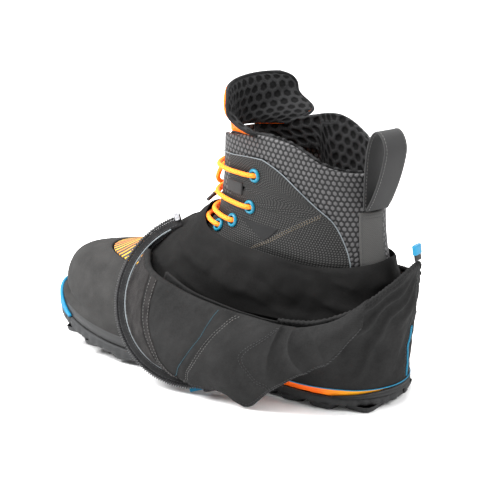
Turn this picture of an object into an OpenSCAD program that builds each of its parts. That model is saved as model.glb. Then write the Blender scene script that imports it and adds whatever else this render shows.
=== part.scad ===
// Mountaineering boot with a built-in gaiter, left foot, gaiter unzipped and pushed down.
// Millimetres. Origin: on the ground under the centre of the heel. The toe points to -X,
// the outer side of the foot to -Y, and +Z is up.

/* [Size] */
// Length of the sole from toe to heel
sole_l = 308; // [256:1:370]
// Width of the sole at the ball of the foot
sole_w = 112; // [93:1:135]
// Height of the collar's highest point above the ground
collar_h = 199; // [166:1:238]

/* [Sole] */
// Depth of the tread lugs
lug_h = 4; // [3:0.1:6]
// Thickness of the rubber above the lugs
outsole_t = 6; // [4:0.1:9]
// Thickness of the midsole at the heel
midsole_t = 8; // [6:0.1:12]
// Lift of the toe tip above the ground
toe_spring = 20; // [8:1:26]
// Width of the gaps between lugs
lug_gap = 7; // [4:0.5:9]
// Height of the crampon rim at the heel
heel_rim_h = 5; // [3:0.5:7]
// Height of the crampon rim at the toe
toe_rim_h = 12; // [6:0.5:14]
// Thickness of the stiffening plate
shank_t = 1.2; // [0.8:0.1:2]
// Thickness of the lasting board
board_t = 2; // [1.5:0.1:3]
// Thickness of the removable footbed
footbed_t = 4; // [3:0.5:6]

/* [Upper] */
// Thickness of the upper's wall
wall = 3; // [2:0.1:4.5]
// Thickness of the film overlays
film_t = 1; // [0.6:0.1:1.5]
// Thickness of the stiffeners at toe and heel
stiffener_t = 1.8; // [1:0.1:2.5]
// Thickness of the collar's padded lining
lining_t = 4; // [2:0.5:6]
// Thickness of the tongue
tongue_t = 6; // [4:0.5:8]
// Width of the tongue at its widest
tongue_w = 98; // [80:1:110]
// Diameter of the lace
lace_d = 3.6; // [3:0.1:4.4]
// Radius of an eyelet's ring at the middle of its rim
eyelet_r = 3.9; // [3.3:0.1:4.8]
// Width of the webbing at the heel
webbing_w = 20; // [14:1:25]
// Thickness of the webbing
webbing_t = 1.6; // [1:0.1:2.2]

/* [Gaiter] */
// Thickness of the gaiter's fabric
cloth_t = 2; // [1.2:0.1:2.8]
// Gap between the upper and the gaiter's lower part
cover_gap = 2.5; // [1.5:0.1:4]
// Gap between the upper and the soft sleeve
sleeve_gap = 6; // [5:0.5:8]
// Radius of the zip's chain in section
chain_r = 1.7; // [1.3:0.1:2.1]
// Width of the zip's tape beside the chain
tape_w = 6; // [5:0.5:8]

/* [Hidden] */

sole_top = lug_h + outsole_t + midsole_t;
touch = 0.2;          // gap left between glued or sewn layers
film_gap = 0.55;      // gap left under the film, which bends two ways
film_out = film_gap + film_t + .2;
heel_back = 46;       // the sole's rearmost point at the standard size
kx = sole_l / 308;
ky = sole_w / 112;
kz = (collar_h - sole_top) / (199 - 18);

function clamp(x, a = 0, b = 1) = min(max(x, a), b);
function mix(a, b, f) = a + (b - a) * f;
function unit(p) = p / norm(p);

// Smooth curve through a table's rows: column 0 is the input, column k the output.
function row_at(tab, x, i = 0) = i >= len(tab) - 2 || x < tab[i + 1][0] ? i : row_at(tab, x, i + 1);
function slope(tab, i, k) =
    let (a = max(i - 1, 0), b = min(i + 1, len(tab) - 1)) (tab[b][k] - tab[a][k]) / (tab[b][0] - tab[a][0]);
function curve(tab, x, k = 1) =
    let (i = row_at(tab, x), h = tab[i + 1][0] - tab[i][0], f = clamp((x - tab[i][0]) / h))
    (2*f*f*f - 3*f*f + 1) * tab[i][k] + (f*f*f - 2*f*f + f) * h * slope(tab, i, k)
    + (3*f*f - 2*f*f*f) * tab[i + 1][k] + (f*f*f - f*f) * h * slope(tab, i + 1, k);

// ---------- the sole's outline: u runs from 0 at the heel to 1 at the toe ----------
// u, half width factor on the outer side, half width factor on the inner side
OUTLINE = [[0, 81, 81], [.06, 75, 75], [.15, 62, 62], [.3, 44, 43], [.45, 37, 34], [.6, 47, 47],
    [.72, 56, 62], [.84, 62, 72], [.94, 66, 76], [1, 70, 80]];
function spring(u) = toe_spring * pow(clamp((u - .52) / .48), 2);
function sole_x(u) = kx * (heel_back - 308 * u);
function toe_shift(u) = 6 * pow(clamp(2 * u - 1), 2);
// Edge of the sole at angle t: 0 heel, 90 inner side, 180 toe, 270 outer side
function sole_edge(t) = let (u = (1 - cos(t)) / 2, s = sin(t))
    [sole_x(u), ky * (s * curve(OUTLINE, u, s < 0 ? 1 : 2) + toe_shift(u))];
function sole_edge_in(t, d) =
    let (p = sole_edge(t), q = sole_edge(t + 1) - sole_edge(t - 1), n = unit([-q[1], q[0]])) p + d * n;
// Extra height of the midsole's top over its heel height: the arch and the toe spring
ARCH = [[0, 0], [.2, 1], [.38, 4], [.6, 2], [1, 2]];
function sole_rise(u) = curve(ARCH, u) + spring(u);

// ---------- the last: rings from the sole (v = 0) to the collar (v = 7) ----------
// v, back x, back z, front x, front z, crest, 5 outer half widths, 5 inner half widths, share of the sole's rise
RINGS = [
    [0, 38,  18, -246,  18,  0, 62, 44, 38,   52, 62, 62, 40, 36,   56, 66, 1],
    [1, 41,  36, -251,  36,  0, 62, 45, 40,   53, 60, 62, 41, 38,   56, 63, .7],
    [2, 41,  56, -238,  64,  0, 58, 43, 40,   47, 50, 58, 41, 40,   49, 53, .25],
    [3, 37,  76, -196,  80,  2, 50, 42, 41,   42, 45, 50, 41, 41,   43, 46, 0],
    [4, 33,  94, -152,  98,  5, 45, 41, 40,   40, 42, 45, 41, 40,   40, 42, 0],
    [5, 28, 114, -113, 123,  3, 42, 40, 38.5, 38, 40, 42, 40, 38.5, 38, 40, 0],
    [6, 26, 140, -106, 150,  3, 40, 39, 38,   37, 38, 40, 39, 38,   37, 38, 0],
    [7, 27, 173, -104, 187, 20, 41, 40, 39,   37, 38, 41, 40, 39,   37, 38, 0]];
CREST = [[0, 0, 0], [.15, .05, .25], [.25, .2, .65], [.4, .65, 1], [.55, .76, .85], [.7, .6, .5], [.85, .3, .2],
    [1, 0, 0]];       // share along the foot, outer side, inner side
function ring(v) = [for (k = [1:16]) curve(RINGS, v, k)];
function width_at(r, u, k) = curve([for (i = [0:4]) [i / 4, r[k + i]]], u);
function last_r(r, t) =
    let (u = (1 - cos(t)) / 2, s = sin(t))
    [kx * mix(r[0], r[2], u),
     ky * (s * width_at(r, u, s < 0 ? 5 : 10) + toe_shift(u) * clamp(r[15] + .2)),
     sole_top + kz * (mix(r[1], r[3], u) - 18 + r[4] * curve(CREST, u, s < 0 ? 1 : 2)) + r[15] * sole_rise(u)];
function last(t, v) = last_r(ring(v), t);
// Outward normal of the last
function last_n(t, v) =
    let (r = ring(v), a = last_r(r, t + 1) - last_r(r, t - 1),
         b = last(t, min(v + .04, 7)) - last(t, max(v - .04, 0)))
    unit(cross(a, b));
function on_last(t, v, d) = last(t, v) + d * last_n(t, v);

// ---------- solids from grids of points ----------
// Closes the space between two grids of the same size. closed joins each row's end to its start.
module skin(outer, inner, closed = false) {
    m = len(outer);
    n = len(outer[0]);
    k = m * n;
    e = closed ? n - 1 : n - 2;
    function id(i, j) = i * n + j % n;
    function quad(a, b, c, d) = [[a, b, c], [a, c, d]];
    faces = [
        for (i = [0:m - 2], j = [0:e], q = quad(id(i, j), id(i + 1, j), id(i + 1, j + 1), id(i, j + 1))) q,
        for (i = [0:m - 2], j = [0:e],
            q = quad(k + id(i, j), k + id(i, j + 1), k + id(i + 1, j + 1), k + id(i + 1, j))) q,
        for (j = [0:e], q = quad(id(0, j), id(0, j + 1), k + id(0, j + 1), k + id(0, j))) q,
        for (j = [0:e],
            q = quad(id(m - 1, j), k + id(m - 1, j), k + id(m - 1, j + 1), id(m - 1, j + 1))) q,
        if (!closed) for (i = [0:m - 2],
            q = quad(id(i, 0), k + id(i, 0), k + id(i + 1, 0), id(i + 1, 0))) q,
        if (!closed) for (i = [0:m - 2],
            q = quad(id(i, n - 1), id(i + 1, n - 1), k + id(i + 1, n - 1), k + id(i, n - 1))) q];
    polyhedron([for (r = outer) each r, for (r = inner) each r], faces);
}
// A grid on the last between the limits ta(v), tb(v) and the rows va, vb
function last_grid(ta, tb, nt, va, vb, nv, d) =
    [for (i = [0:nv]) let (f = i / nv)
        [for (j = [0:nt]) let (g = j / nt, v0 = mix(va(0), vb(0), f), t = mix(ta(v0), tb(v0), g),
            v = mix(va(t), vb(t), f)) on_last(t, v, d)]];
// A panel of the upper, from offset d0 to d1. Each limit is a function, so that edges may slant.
module panel(ta, tb, nt, va, vb, nv, d0, d1) {
    skin(last_grid(ta, tb, nt, va, vb, nv, d1), last_grid(ta, tb, nt, va, vb, nv, d0));
}
function at(x) = function (p) x;
// A plate across the sole from angle ta to tb: each row runs from the outer to the inner edge
function deck_grid(ta, tb, n, m, inset, z) =
    [for (i = [0:n]) let (t = mix(ta, tb, i / n), a = sole_edge_in(t, inset), b = sole_edge_in(360 - t, inset))
        [for (j = [0:m]) [mix(b[0], a[0], j / m), mix(b[1], a[1], j / m), z((1 - cos(t)) / 2)]]];
module deck(ta, tb, n, m, inset, z0, z1) {
    skin(deck_grid(ta, tb, n, m, inset, z1), deck_grid(ta, tb, n, m, inset, z0));
}
// A rim that follows the sole's edge between two insets
module rim(ta, tb, n, inset0, inset1, z0, z1) {
    function line(d, z) = [for (i = [0:n]) let (t = mix(ta, tb, i / n), p = sole_edge_in(t, d))
        [p[0], p[1], z(t)]];
    skin([line(inset0, z0), line(inset0, z1)], [line(inset1, z0), line(inset1, z1)]);
}
// A tube of n sides along points
function frame_of(pts, i) =
    let (a = pts[max(i - 1, 0)], b = pts[min(i + 1, len(pts) - 1)], d = unit(b - a),
         s = unit(cross(d, abs(d[2]) > .9 ? [1, 0, 0] : [0, 0, 1]))) [s, cross(s, d)];
module tube(pts, r, n = 8) {
    rings = [for (i = [0:len(pts) - 1]) let (f = frame_of(pts, i))
        [for (j = [0:n - 1]) let (a = 360 * j / n) pts[i] + r * (cos(a) * f[0] + sin(a) * f[1])]];
    m = len(rings);
    polyhedron([for (q = rings) each q], [
        [for (j = [n - 1:-1:0]) j],
        [for (j = [0:n - 1]) (m - 1) * n + j],
        for (i = [0:m - 2], j = [0:n - 1]) each [
            [i * n + j, (i + 1) * n + (j + 1) % n, (i + 1) * n + j],
            [i * n + j, i * n + (j + 1) % n, (i + 1) * n + (j + 1) % n]]]);
}
// Points along a smooth line through a few points, k steps to each
function smooth_line(p, k) =
    [for (i = [0:len(p) - 2], s = [0:k - 1]) spline(p, i, s / k), p[len(p) - 1]];
function spline(p, i, f) =
    let (a = p[max(i - 1, 0)], b = p[i], c = p[i + 1], d = p[min(i + 2, len(p) - 1)])
    b + f * (c - a) / 2 + f * f * (a - 2.5 * b + 2 * c - d / 2) + f*f*f * (1.5 * (b - c) + (d - a) / 2);

// ---------- sole unit ----------
rubber_top = lug_h + outsole_t;
join_t = 78;          // angle where the heel rubber meets the forefoot rubber
function heel_rubber_top(u) = rubber_top;
module lug_row(t0, t1, m) {
    // one row of lugs across the sole: m blocks, with a gap between them
    for (j = [0:m - 1]) {
        grid = function (z) [for (t = [t0, (t0 + t1) / 2, t1]) let (u = (1 - cos(t)) / 2,
            a = sole_edge(t)[1] - 1, b = sole_edge(360 - t)[1] + 1, w = (a - b - (m - 1) * lug_gap) / m,
            y = b + j * (w + lug_gap)) [for (yy = [y, y + w]) [sole_x(u), yy, z + spring(u)]]];
        skin(grid(lug_h), grid(0));
    }
}
function t_of_x(x) = acos(clamp(1 - 2 * (heel_back - x / kx) / 308, -1, 1));
module outsole_heel() color([.09, .09, .09]) {
    deck(4, join_t, 16, 4, 0, at(lug_h), at(rubber_top));
    lug_row(t_of_x(34 * kx), t_of_x(18 * kx), 2);
    translate([-10 * kx, -30 * ky, 0]) cube([20 * kx, 60 * ky, lug_h]);
    lug_row(t_of_x(-18 * kx), t_of_x(-34 * kx), 2);
    lug_row(t_of_x(-42 * kx), t_of_x(-56 * kx), 2);
}
module outsole_forefoot() color([.2, .2, .2]) {
    deck(join_t, 176, 20, 4, 0, function (u) lug_h + spring(u), function (u) rubber_top + spring(u));
    for (x = [-96, -119, -142, -165, -196, -219])
        lug_row(t_of_x(x * kx), t_of_x((x - 15) * kx), x < -180 ? 3 : 4);
}
module midsole() color([1, .35, 0])
    deck(6, 174, 26, 4, 4.4, function (u) rubber_top + spring(u) + touch,
        function (u) sole_top + sole_rise(u) - .4);
module heel_crampon_rim() color([.1, .1, .1])
    rim(-40, 40, 14, -1, 1.8, at(rubber_top + .3),
        function (t) rubber_top + .6 + (heel_rim_h - .3) * pow(cos(t * 90 / 42), .8));
module toe_crampon_rim() color([.0, .62, .8])
    rim(122, 238, 16, -1, 1.8, function (t) rubber_top + spring((1 - cos(t)) / 2) + .3,
        function (t) rubber_top + spring((1 - cos(t)) / 2) + .6
            + (toe_rim_h - .3) * pow(cos((t - 180) * 90 / 60), 1.2));
module foot_plate(ta, tb, inset, z0, z1) {
    // a plate in the shape of the foot, inside the upper
    function grid(z) = [for (i = [0:18]) let (t = mix(ta, tb, i / 18), a = last(t, 0), b = last(360 - t, 0))
        [for (j = [0:4]) [a[0], mix(b[1] + inset, a[1] - inset, j / 4), a[2] + z]]];
    skin(grid(z1), grid(z0));
}
module shank_plate() color([.05, .05, .06]) foot_plate(24, 160, 12, touch, shank_t);
module lasting_board() color([.75, .7, .6])
    foot_plate(22, 160, wall + 2, shank_t + touch, shank_t + board_t);
module footbed() color([.15, .15, .17])
    foot_plate(26, 162, wall + stiffener_t + 3, shank_t + board_t + touch, shank_t + board_t + footbed_t);

// ---------- inner boot ----------
seam_v = 3.6;         // ring where the lower panels meet the quarters
throat = 20;          // half angle of the opening over the tongue
module vamp() color([.2, .2, .2])
    panel(at(90), at(270), 24, at(0), at(seam_v - .01), 9, -wall, 0);
module heel_cup() color([.2, .2, .2])
    panel(at(-89.7), at(89.7), 20, at(0), at(seam_v - .01), 9, -wall, 0);
module quarter_outer() color([.3, .3, .31])
    panel(at(180 + throat), at(359.9), 22, at(seam_v + .01), at(7), 12, -wall, 0);
module quarter_inner() color([.3, .3, .31])
    panel(at(.1), at(180 - throat), 22, at(seam_v + .01), at(7), 12, -wall, 0);
module collar_lining() color([.13, .13, .13])
    panel(at(-150), at(150), 30, function (t) 5.7 + .82 * clamp((abs(t) - 86) / 10), at(6.96), 4,
        -wall - 2 * touch - lining_t, -wall - 2 * touch);
module heel_counter() color([.1, .1, .1])
    panel(at(-62), at(62), 12, at(.6), at(3.2), 5, -wall - .7 - stiffener_t, -wall - .7);
module toe_stiffener() color([.1, .1, .1])
    panel(at(128), at(232), 12, at(.6), at(2.7), 5, -wall - .7 - stiffener_t, -wall - .7);

// The film overlay's rear edge sweeps back and down from the top lace row. v, angle from the front
FILM_EDGE = [[4.2, 144], [4.75, 143], [5.3, 139], [5.9, 130], [6.2, 117], [6.42, 103], [6.58, 90], [6.68, 76]];
film_front = 25;
module film_overlay(side) color([.23, .23, .23]) {
    edge = function (v) curve(FILM_EDGE, v);
    panel(side > 0 ? function (v) 180 - edge(v) : at(180 + film_front),
        side > 0 ? at(180 - film_front) : function (v) 180 + edge(v),
        18, at(4.2), at(6.66), 10, film_gap, film_gap + film_t);
}
module lace_stay(side) color([.3, .3, .29])
    panel(side > 0 ? at(92) : at(180 + film_front), side > 0 ? at(180 - film_front) : at(268),
        10, at(3.75), at(4.17), 4, film_gap, film_gap + film_t);
module flex_patch(side) color([.12, .12, .13])
    panel(function (v) 180 - side * 85 + side * (side > 0 ? -1 : 1) * 1 - (side > 0 ? 14 : 46) * (v - 4.9),
        function (v) 180 - side * 85 + 1 + (side > 0 ? 46 : 14) * (v - 4.9),
        6, at(4.9), at(5.4), 3, film_out, film_out + .5);

// tongue: its base lies behind the lace, its top stands over the collar and flexes on its own
tongue_d = -wall - lace_d - 2.2;
tongue_z = sole_top + kz * 171.5;   // where the tongue leaves the collar
module tongue_base() color([.16, .16, .16])
    panel(at(152), at(208), 10, at(3.8), at(6.75), 9, tongue_d - tongue_t + 1, tongue_d);
// height over the collar, half width as a share, depth of the curl
TONGUE = [[0, .44, .034], [.12, .56, .028], [.3, .84, .017], [.55, .98, .010], [.8, .99, .008], [.93, .9, .008],
    [1, .74, .008]];
tongue_rise = 37;
tongue_front = -99;
function tongue_p(h, y) = [kx * tongue_front + curve(TONGUE, h, 2) * y * y + 3 * h, y + 3 * h,
    tongue_z + kz * tongue_rise * h - 4 * h * pow(abs(2 * y / tongue_w), 3)];
function tongue_n(h, y) = unit(cross(tongue_p(h, y + .1) - tongue_p(h, y - .1),
    tongue_p(min(h + .01, 1), y) - tongue_p(max(h - .01, 0), y)));
function tongue_grid(d) = [for (i = [0:8]) let (h = i / 8, w = curve(TONGUE, h, 1) * tongue_w / 2 * ky)
    [for (j = [-7:7]) tongue_p(h, w * j / 7) + d * tongue_n(h, w * j / 7)]];
module tongue_top() color([.12, .12, .12]) skin(tongue_grid(tongue_t - 1), tongue_grid(0));

// eyelets: angle from the front and ring, from the top row down
EYELETS = [[73, 6.4], [70, 5.78], [55, 5.2], [45, 4.88]];
eye_in = wall + lace_d / 2 + .3;
function eye(i, side, d) = on_last(180 - side * EYELETS[i][0], EYELETS[i][1], d);
module face_along(p, n) translate(p) rotate([0, acos(n[2]), atan2(n[1], n[0])]) children();
module eyelets() color([.0, .68, .85])
    for (i = [0:3], side = [-1, 1])
        face_along(eye(i, side, film_gap + film_t), last_n(180 - side * EYELETS[i][0], EYELETS[i][1]))
            translate([0, 0, 1.3]) rotate_extrude($fn = 16) translate([eyelet_r, 0]) circle(r = 1, $fn = 8);

// lace: bars across the outside, crossings underneath, one end straight up inside
lace_out = film_out + lace_d / 2 + .3;
function bar_d(w) = lace_out + .5 - 2.4 * clamp(1 - w * w / 600);   // taut over the gap for the tongue
function bar(i, a, b, n) = [for (k = [0:n]) let (w = mix(a, b, k / n) * EYELETS[i][0])
    on_last(180 - w, EYELETS[i][1], bar_d(w))];
function dive(i, side) = [eye(i, side, 2), eye(i, side, -eye_in + .5)];
function rise(i, side) = [eye(i, side, -eye_in + .5), eye(i, side, 2)];
function under(i, si, j, sj, n) = [for (k = [1:n - 1]) let (f = k / n)
    on_last(180 - mix(si * EYELETS[i][0], sj * EYELETS[j][0], f),
        mix(EYELETS[i][1], EYELETS[j][1], f), -eye_in)];
knot_a = .38;         // share of the way round to the inner top eyelet where the knot sits
LACE = concat(
    bar(0, knot_a - .06, -.93, 9),
    dive(0, -1), under(0, -1, 1, 1, 6), rise(1, 1), bar(1, .93, -.93, 11),
    dive(1, -1), under(1, -1, 2, 1, 5), rise(2, 1), bar(2, .91, -.91, 9),
    dive(2, -1), under(2, -1, 3, 1, 5), rise(3, 1), bar(3, .9, -.9, 9),
    dive(3, -1), [for (k = [1:7]) let (f = k / 8)
        on_last(180 - mix(-EYELETS[3][0] - 3, EYELETS[0][0], f), mix(EYELETS[3][1], EYELETS[0][1], f),
            -eye_in - .1)],
    rise(0, 1), bar(0, .93, knot_a + .06, 4));
module lace() color([1, .6, 0]) tube(LACE, lace_d / 2, 6);
knot_p = on_last(180 - knot_a * EYELETS[0][0], EYELETS[0][1], lace_out + 1.6);
module lace_knot() color([1, .6, 0]) translate(knot_p) sphere(r = lace_d * 1.05, $fn = 20);
// the bow hangs down the inner side: each point is an angle from the front, a ring and an offset
function hung(p) = [for (q = p) on_last(180 - q[0], q[1], q[2] + lace_d / 2 + .4)];
LOOP_FRONT = [[23.5, 6.29, 5.2], [16, 6.3, 4.6], [7, 6.25, 4.6], [0, 6.09, 5.2], [-1, 5.89, 6], [5, 5.74, 6.2],
    [13, 5.72, 6.2], [19, 5.82, 6.2], [22, 5.98, 6.2], [24, 6.12, 6.4]];
LOOP_BACK = [[33.5, 6.27, 5.6], [42, 6.25, 3.8], [54, 6.25, 2.8], [66, 6.24, 2.8], [75, 6.16, 3], [79, 6, 4],
    [76, 5.84, 5.4], [67, 5.74, 6], [55, 5.74, 6], [45, 5.82, 6], [39.5, 5.97, 6], [37, 6.14, 6.2]];
END_FRONT = [[29.5, 6.2, 7], [28.5, 6.04, 8.2], [26, 5.9, 9.4], [21, 5.78, 10], [15, 5.67, 9.6], [9, 5.57, 8],
    [3, 5.48, 6.6], [-5, 5.4, 6.2]];
END_BACK = [[34, 6.36, 8], [41, 6.22, 8.8], [47, 6.06, 9], [52, 5.88, 9.5], [56, 5.7, 9.7], [61, 5.5, 7.4],
    [66, 5.3, 3.6], [71, 5.14, 2.8]];
module cord_of(p, k) color([1, .6, 0]) tube(smooth_line(hung(p), k), lace_d / 2, 8);
module bow_loop_front() cord_of(LOOP_FRONT, 2);
module bow_loop_back() cord_of(LOOP_BACK, 2);
module lace_end_front() cord_of(END_FRONT, 2);
module lace_end_back() cord_of(END_BACK, 2);
aglet_l = 10;
module aglets() color([.1, .1, .1])
    for (p = [hung(END_FRONT), hung(END_BACK)]) {
        a = p[len(p) - 1];
        face_along(a + .4 * unit(a - p[len(p) - 2]), unit(a - p[len(p) - 2]))
            cylinder(d = lace_d * .8, h = aglet_l, $fn = 20);
    }
// webbing tabs between the two upper rows of eyelets
module webbing_tabs() color([.08, .08, .09])
    for (side = [-1, 1])
        panel(at(180 + side * 53 - 9), at(180 + side * 53 + 9), 5, at(5.98), at(6.22), 3,
            film_out, film_out + .9);

// webbing at the heel
stay_t = 345;
stay_half = webbing_w / 2 / 41 * 57.3 / ky;
module heel_stay() color([.26, .26, .25])
    panel(at(stay_t - stay_half), at(stay_t + stay_half), 5, at(3.3), at(6.16), 8, touch, touch + webbing_t);
// the loop's side view: distance out from the upper, height over its seam
LOOP = [[0, 2], [0, 12], [.4, 24], [2, 42], [6.5, 56], [13, 61.5], [20, 58], [23, 48], [17.5, 29], [9.5, 12], [3, 2]];
loop_n = last_n(stay_t, 6.2);
loop_out = unit([loop_n[0], loop_n[1], 0]);
loop_side = [-loop_out[1], loop_out[0], 0];
loop_p = last(stay_t, 6.2) + 1.2 * loop_out;
module pull_loop() color([.14, .14, .14]) {
    path = smooth_line([for (q = LOOP) loop_p + (q[0] + webbing_t / 2) * loop_out + [0, 0, q[1]]], 3);
    rows = function (s) [for (i = [0:len(path) - 1])
        let (a = path[max(i - 1, 0)], b = path[min(i + 1, len(path) - 1)], n = unit(cross(b - a, loop_side)))
        [for (j = [-1:1]) path[i] + loop_side * j * webbing_w / 2 + n * s * webbing_t / 2]];
    skin(rows(-1), rows(1));
}

// ---------- gaiter ----------
cover_v = 2.7;        // ring where the toe cover ends and the striped panel begins
module toe_cover() color([.25, .25, .25]) {
    grid = function (d) [for (i = [0:9]) [for (k = [0:22]) let (t = mix(114, 246, k / 22), u = (1 - cos(t)) / 2,
        e = sole_edge_in(t, 2.1 + cloth_t - d)) i == 0 ? [e[0], e[1], rubber_top + spring(u) + .5]
        : i == 1 ? [e[0], e[1], sole_top + sole_rise(u) + .4]
        : on_last(t, mix(.45, cover_v, (i - 2) / 7), cover_gap + d)]];
    skin(grid(cloth_t), grid(0));
}
module stripe_panel() color([.35, .33, .34])
    panel(at(132), at(228), 12, at(cover_v + .03), at(4.42), 6, cover_gap, cover_gap + cloth_t * .7);

// The gaiter's wall, pushed down: angle, x, y, z of its upper edge
WALL_RIM = [[-112, -130, -55, 88], [-100, -100, -62, 78], [-85, -62, -67, 73], [-70, -28, -69, 71],
    [-55, 4, -64, 72], [-40, 32, -52, 82], [-20, 49, -26, 97], [0, 57, 0, 108], [16, 49, 16, 96],
    [35, 36, 40, 86], [55, 8, 57, 82], [75, -30, 62, 82], [95, -70, 61, 86], [112, -108, 56, 94]];
function wall_hem(t) = let (u = (1 - cos(t)) / 2, p = sole_edge_in(t, .2 - 5.5 * clamp(1 - pow((u - .42) / .32, 2))))
    [p[0], p[1], rubber_top + heel_rim_h + 1 + spring(u) + .45 * curve(ARCH, u) * 2.2];
function wall_rim(t) = [kx * curve(WALL_RIM, t, 1), ky * curve(WALL_RIM, t, 2),
    sole_top + kz * (curve(WALL_RIM, t, 3) - 18)];
wall_shape = [0, .12, .34, .6, .82, 1];      // how fast each row leaves the sole's edge
function wall_row(i, d) = [for (k = [0:28]) let (t = mix(-110, 110, k / 28), a = wall_hem(t), b = wall_rim(t),
    f = i / 5, g = mix(f, wall_shape[i], .6), c = [kx * -60, 0],
    p = [mix(a[0], b[0], g), mix(a[1], b[1], g), mix(a[2], b[2], f)],
    o = unit([p[0] - c[0] * clamp(f + .4), p[1]]) ) [p[0] - o[0] * d, p[1] - o[1] * d, p[2]]];
module gaiter_wall() color([.16, .16, .165])
    skin([for (i = [0:5]) wall_row(i, 0)], [for (i = [0:5]) wall_row(i, cloth_t)]);
module rim_elastic() color([.1, .1, .1]) {
    line = [for (k = [1:25]) let (t = mix(-66, 108, k / 26), p = wall_rim(t), o = unit([p[0] + kx * 60, p[1]]))
        [p[0] - o[0] * cloth_t / 2, p[1] - o[1] * cloth_t / 2, p[2] + 1.7]];
    tube(line, 1, 6);
}
module hem_piping() color([.0, .6, .75]) {
    line = [for (k = [0:24]) let (t = mix(-74, 74, k / 24), p = wall_hem(t), o = unit([p[0] + kx * 60, p[1]]))
        [p[0] + 1.15 * o[0], p[1] + 1.15 * o[1], p[2] + .4]];
    tube(line, .7, 6);
}
module back_seam_piping() color([.0, .6, .75]) {
    line = [for (k = [0:7]) let (f = .06 + .4 * k / 7, a = wall_hem(4), b = wall_rim(4), i = f * 5,
        g = mix(f, curve([for (q = [0:5]) [q, wall_shape[q]]], i), .6))
        [mix(a[0], b[0], g) + 1.1, mix(a[1], b[1], g), mix(a[2], b[2], f)]];
    tube(line, .8, 6);
}
// Soft sleeve round the ankle: angle, lower ring, upper ring
SLEEVE = [[0, 2.2, 4.75], [40, 2.2, 4.5], [90, 2.3, 4.35], [130, 3, 4.5], [160, 4.05, 4.95], [180, 4.3, 5.05],
    [200, 4.05, 4.95], [230, 3, 4.68], [270, 2.3, 4.6], [300, 2.2, 4.55], [330, 2.2, 4.65], [360, 2.2, 4.75]];
module gaiter_sleeve() color([.15, .15, .155]) {
    grid = function (d) [for (i = [0:5]) [for (k = [0:29]) let (t = k * 12)
        on_last(t, mix(curve(SLEEVE, t, 1), curve(SLEEVE, t, 2), i / 5), d - 3.2 * pow(max(cos(t), 0), 2))]];
    skin(grid(sleeve_gap + cloth_t), grid(sleeve_gap), closed = true);
}

// ---------- zip: its chain lies on a circle that leans over the outer side ----------
zip_n = unit([.197, -.862, .467]);
zip_c = [kx * -104.4, ky * -42.4, sole_top + kz * 46.5];
zip_r = 66 * kz;
zip_e1 = unit(cross(cross(zip_n, [-.3, .33, 1]), zip_n));
zip_e2 = cross(zip_n, zip_e1);
function on_zip(a, r, h = 0) = zip_c + r * (cos(a) * zip_e1 + sin(a) * zip_e2) + h * zip_n;
// Places children drawn in the zip's plane: local X is the start of its circle, local Z its axis
module in_zip() {
    th = acos(zip_n[2]);
    ph = atan2(zip_n[1], zip_n[0]);
    x1 = [cos(th) * cos(ph), cos(th) * sin(ph), -sin(th)];
    y1 = [-sin(ph), cos(ph), 0];
    translate(zip_c) rotate([0, th, ph]) rotate([0, 0, atan2(zip_e1 * y1, zip_e1 * x1)]) children();
}
zip_a0 = 11;
zip_a1 = 198;
module zip_chain_flap() color([.06, .06, .06]) in_zip() rotate([0, 0, zip_a0])
    rotate_extrude(angle = zip_a1 - zip_a0, $fn = 96) translate([zip_r, 0]) circle(r = chain_r, $fn = 10);
module zip_tape_flap() color([.1, .1, .1]) in_zip() rotate([0, 0, zip_a0])
    rotate_extrude(angle = zip_a1 - zip_a0, $fn = 96)
        translate([zip_r - chain_r - tape_w, -.4]) square([tape_w, .8]);
// The chain's other half, sewn to the toe side, lies under the first
toe_half = 2 * chain_r + .6;
module zip_chain_toe() color([.07, .07, .07]) in_zip() translate([0, 0, -toe_half]) rotate([0, 0, zip_a0 + 12])
    rotate_extrude(angle = 20, $fn = 96) translate([zip_r - 3, 0]) union() {
        circle(r = chain_r, $fn = 16);
        translate([-tape_w, -.5]) square([tape_w, 1]);
    }
module zip_end_stops() color([.3, .3, .32]) in_zip()
    for (a = [zip_a0 + .2, zip_a1 - 3.4]) rotate([0, 0, a])
        rotate_extrude(angle = 3.2, $fn = 96) translate([zip_r - chain_r - 1.2, -chain_r - .7])
            difference() {
                square([2 * chain_r + 2.4, 2 * chain_r + 1.4]);
                translate([-1, .7]) square([2 * chain_r + 2.2, 2 * chain_r]);
            }
slider_a = 186;       // where the slider is parked
slider_span = 9;      // angle that the slider covers
slider_h = 3.2;
slot = .35;
module zip_slider() color([.12, .12, .13]) in_zip() rotate([0, 0, slider_a - slider_span / 2]) {
    difference() {
        rotate_extrude(angle = slider_span, $fn = 96)
            translate([zip_r - 4.2, -slider_h]) square([8, 2 * slider_h]);
        rotate([0, 0, -1]) rotate_extrude(angle = slider_span + 2, $fn = 96)
            translate([zip_r, 0]) union() {
                circle(r = chain_r + slot, $fn = 24);
                translate([-6, -.4 - slot]) square([6, .8 + 2 * slot]);
            }
    }
    // two ears for the pull's pin, on the side that faces the boot
    for (h = [1, 5]) rotate([0, 0, slider_span / 2]) translate([zip_r - 3.2 + h - .5, -1.8, -slider_h - 2.6])
        cube([1, 3.6, 2.8]);
    rotate([0, 0, slider_span / 2]) translate([zip_r - 2.4, 0, -slider_h - 1.3]) rotate([0, 90, 0])
        cylinder(r = .55, h = 4.4, $fn = 24);
}
pull_l = 18;
module zip_pull() color([.0, .62, .8]) in_zip() rotate([0, 0, slider_a]) translate([zip_r - .2, 0, -slider_h - 1.3])
    difference() {
        union() {
            rotate([0, 90, 0]) cylinder(r = 1.2, h = 2.6, center = true, $fn = 24);
            translate([-1.3, -pull_l, -.6]) cube([2.6, pull_l, 1.2]);
        }
        rotate([0, 90, 0]) cylinder(r = .62, h = 6, center = true, $fn = 24);
    }

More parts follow.
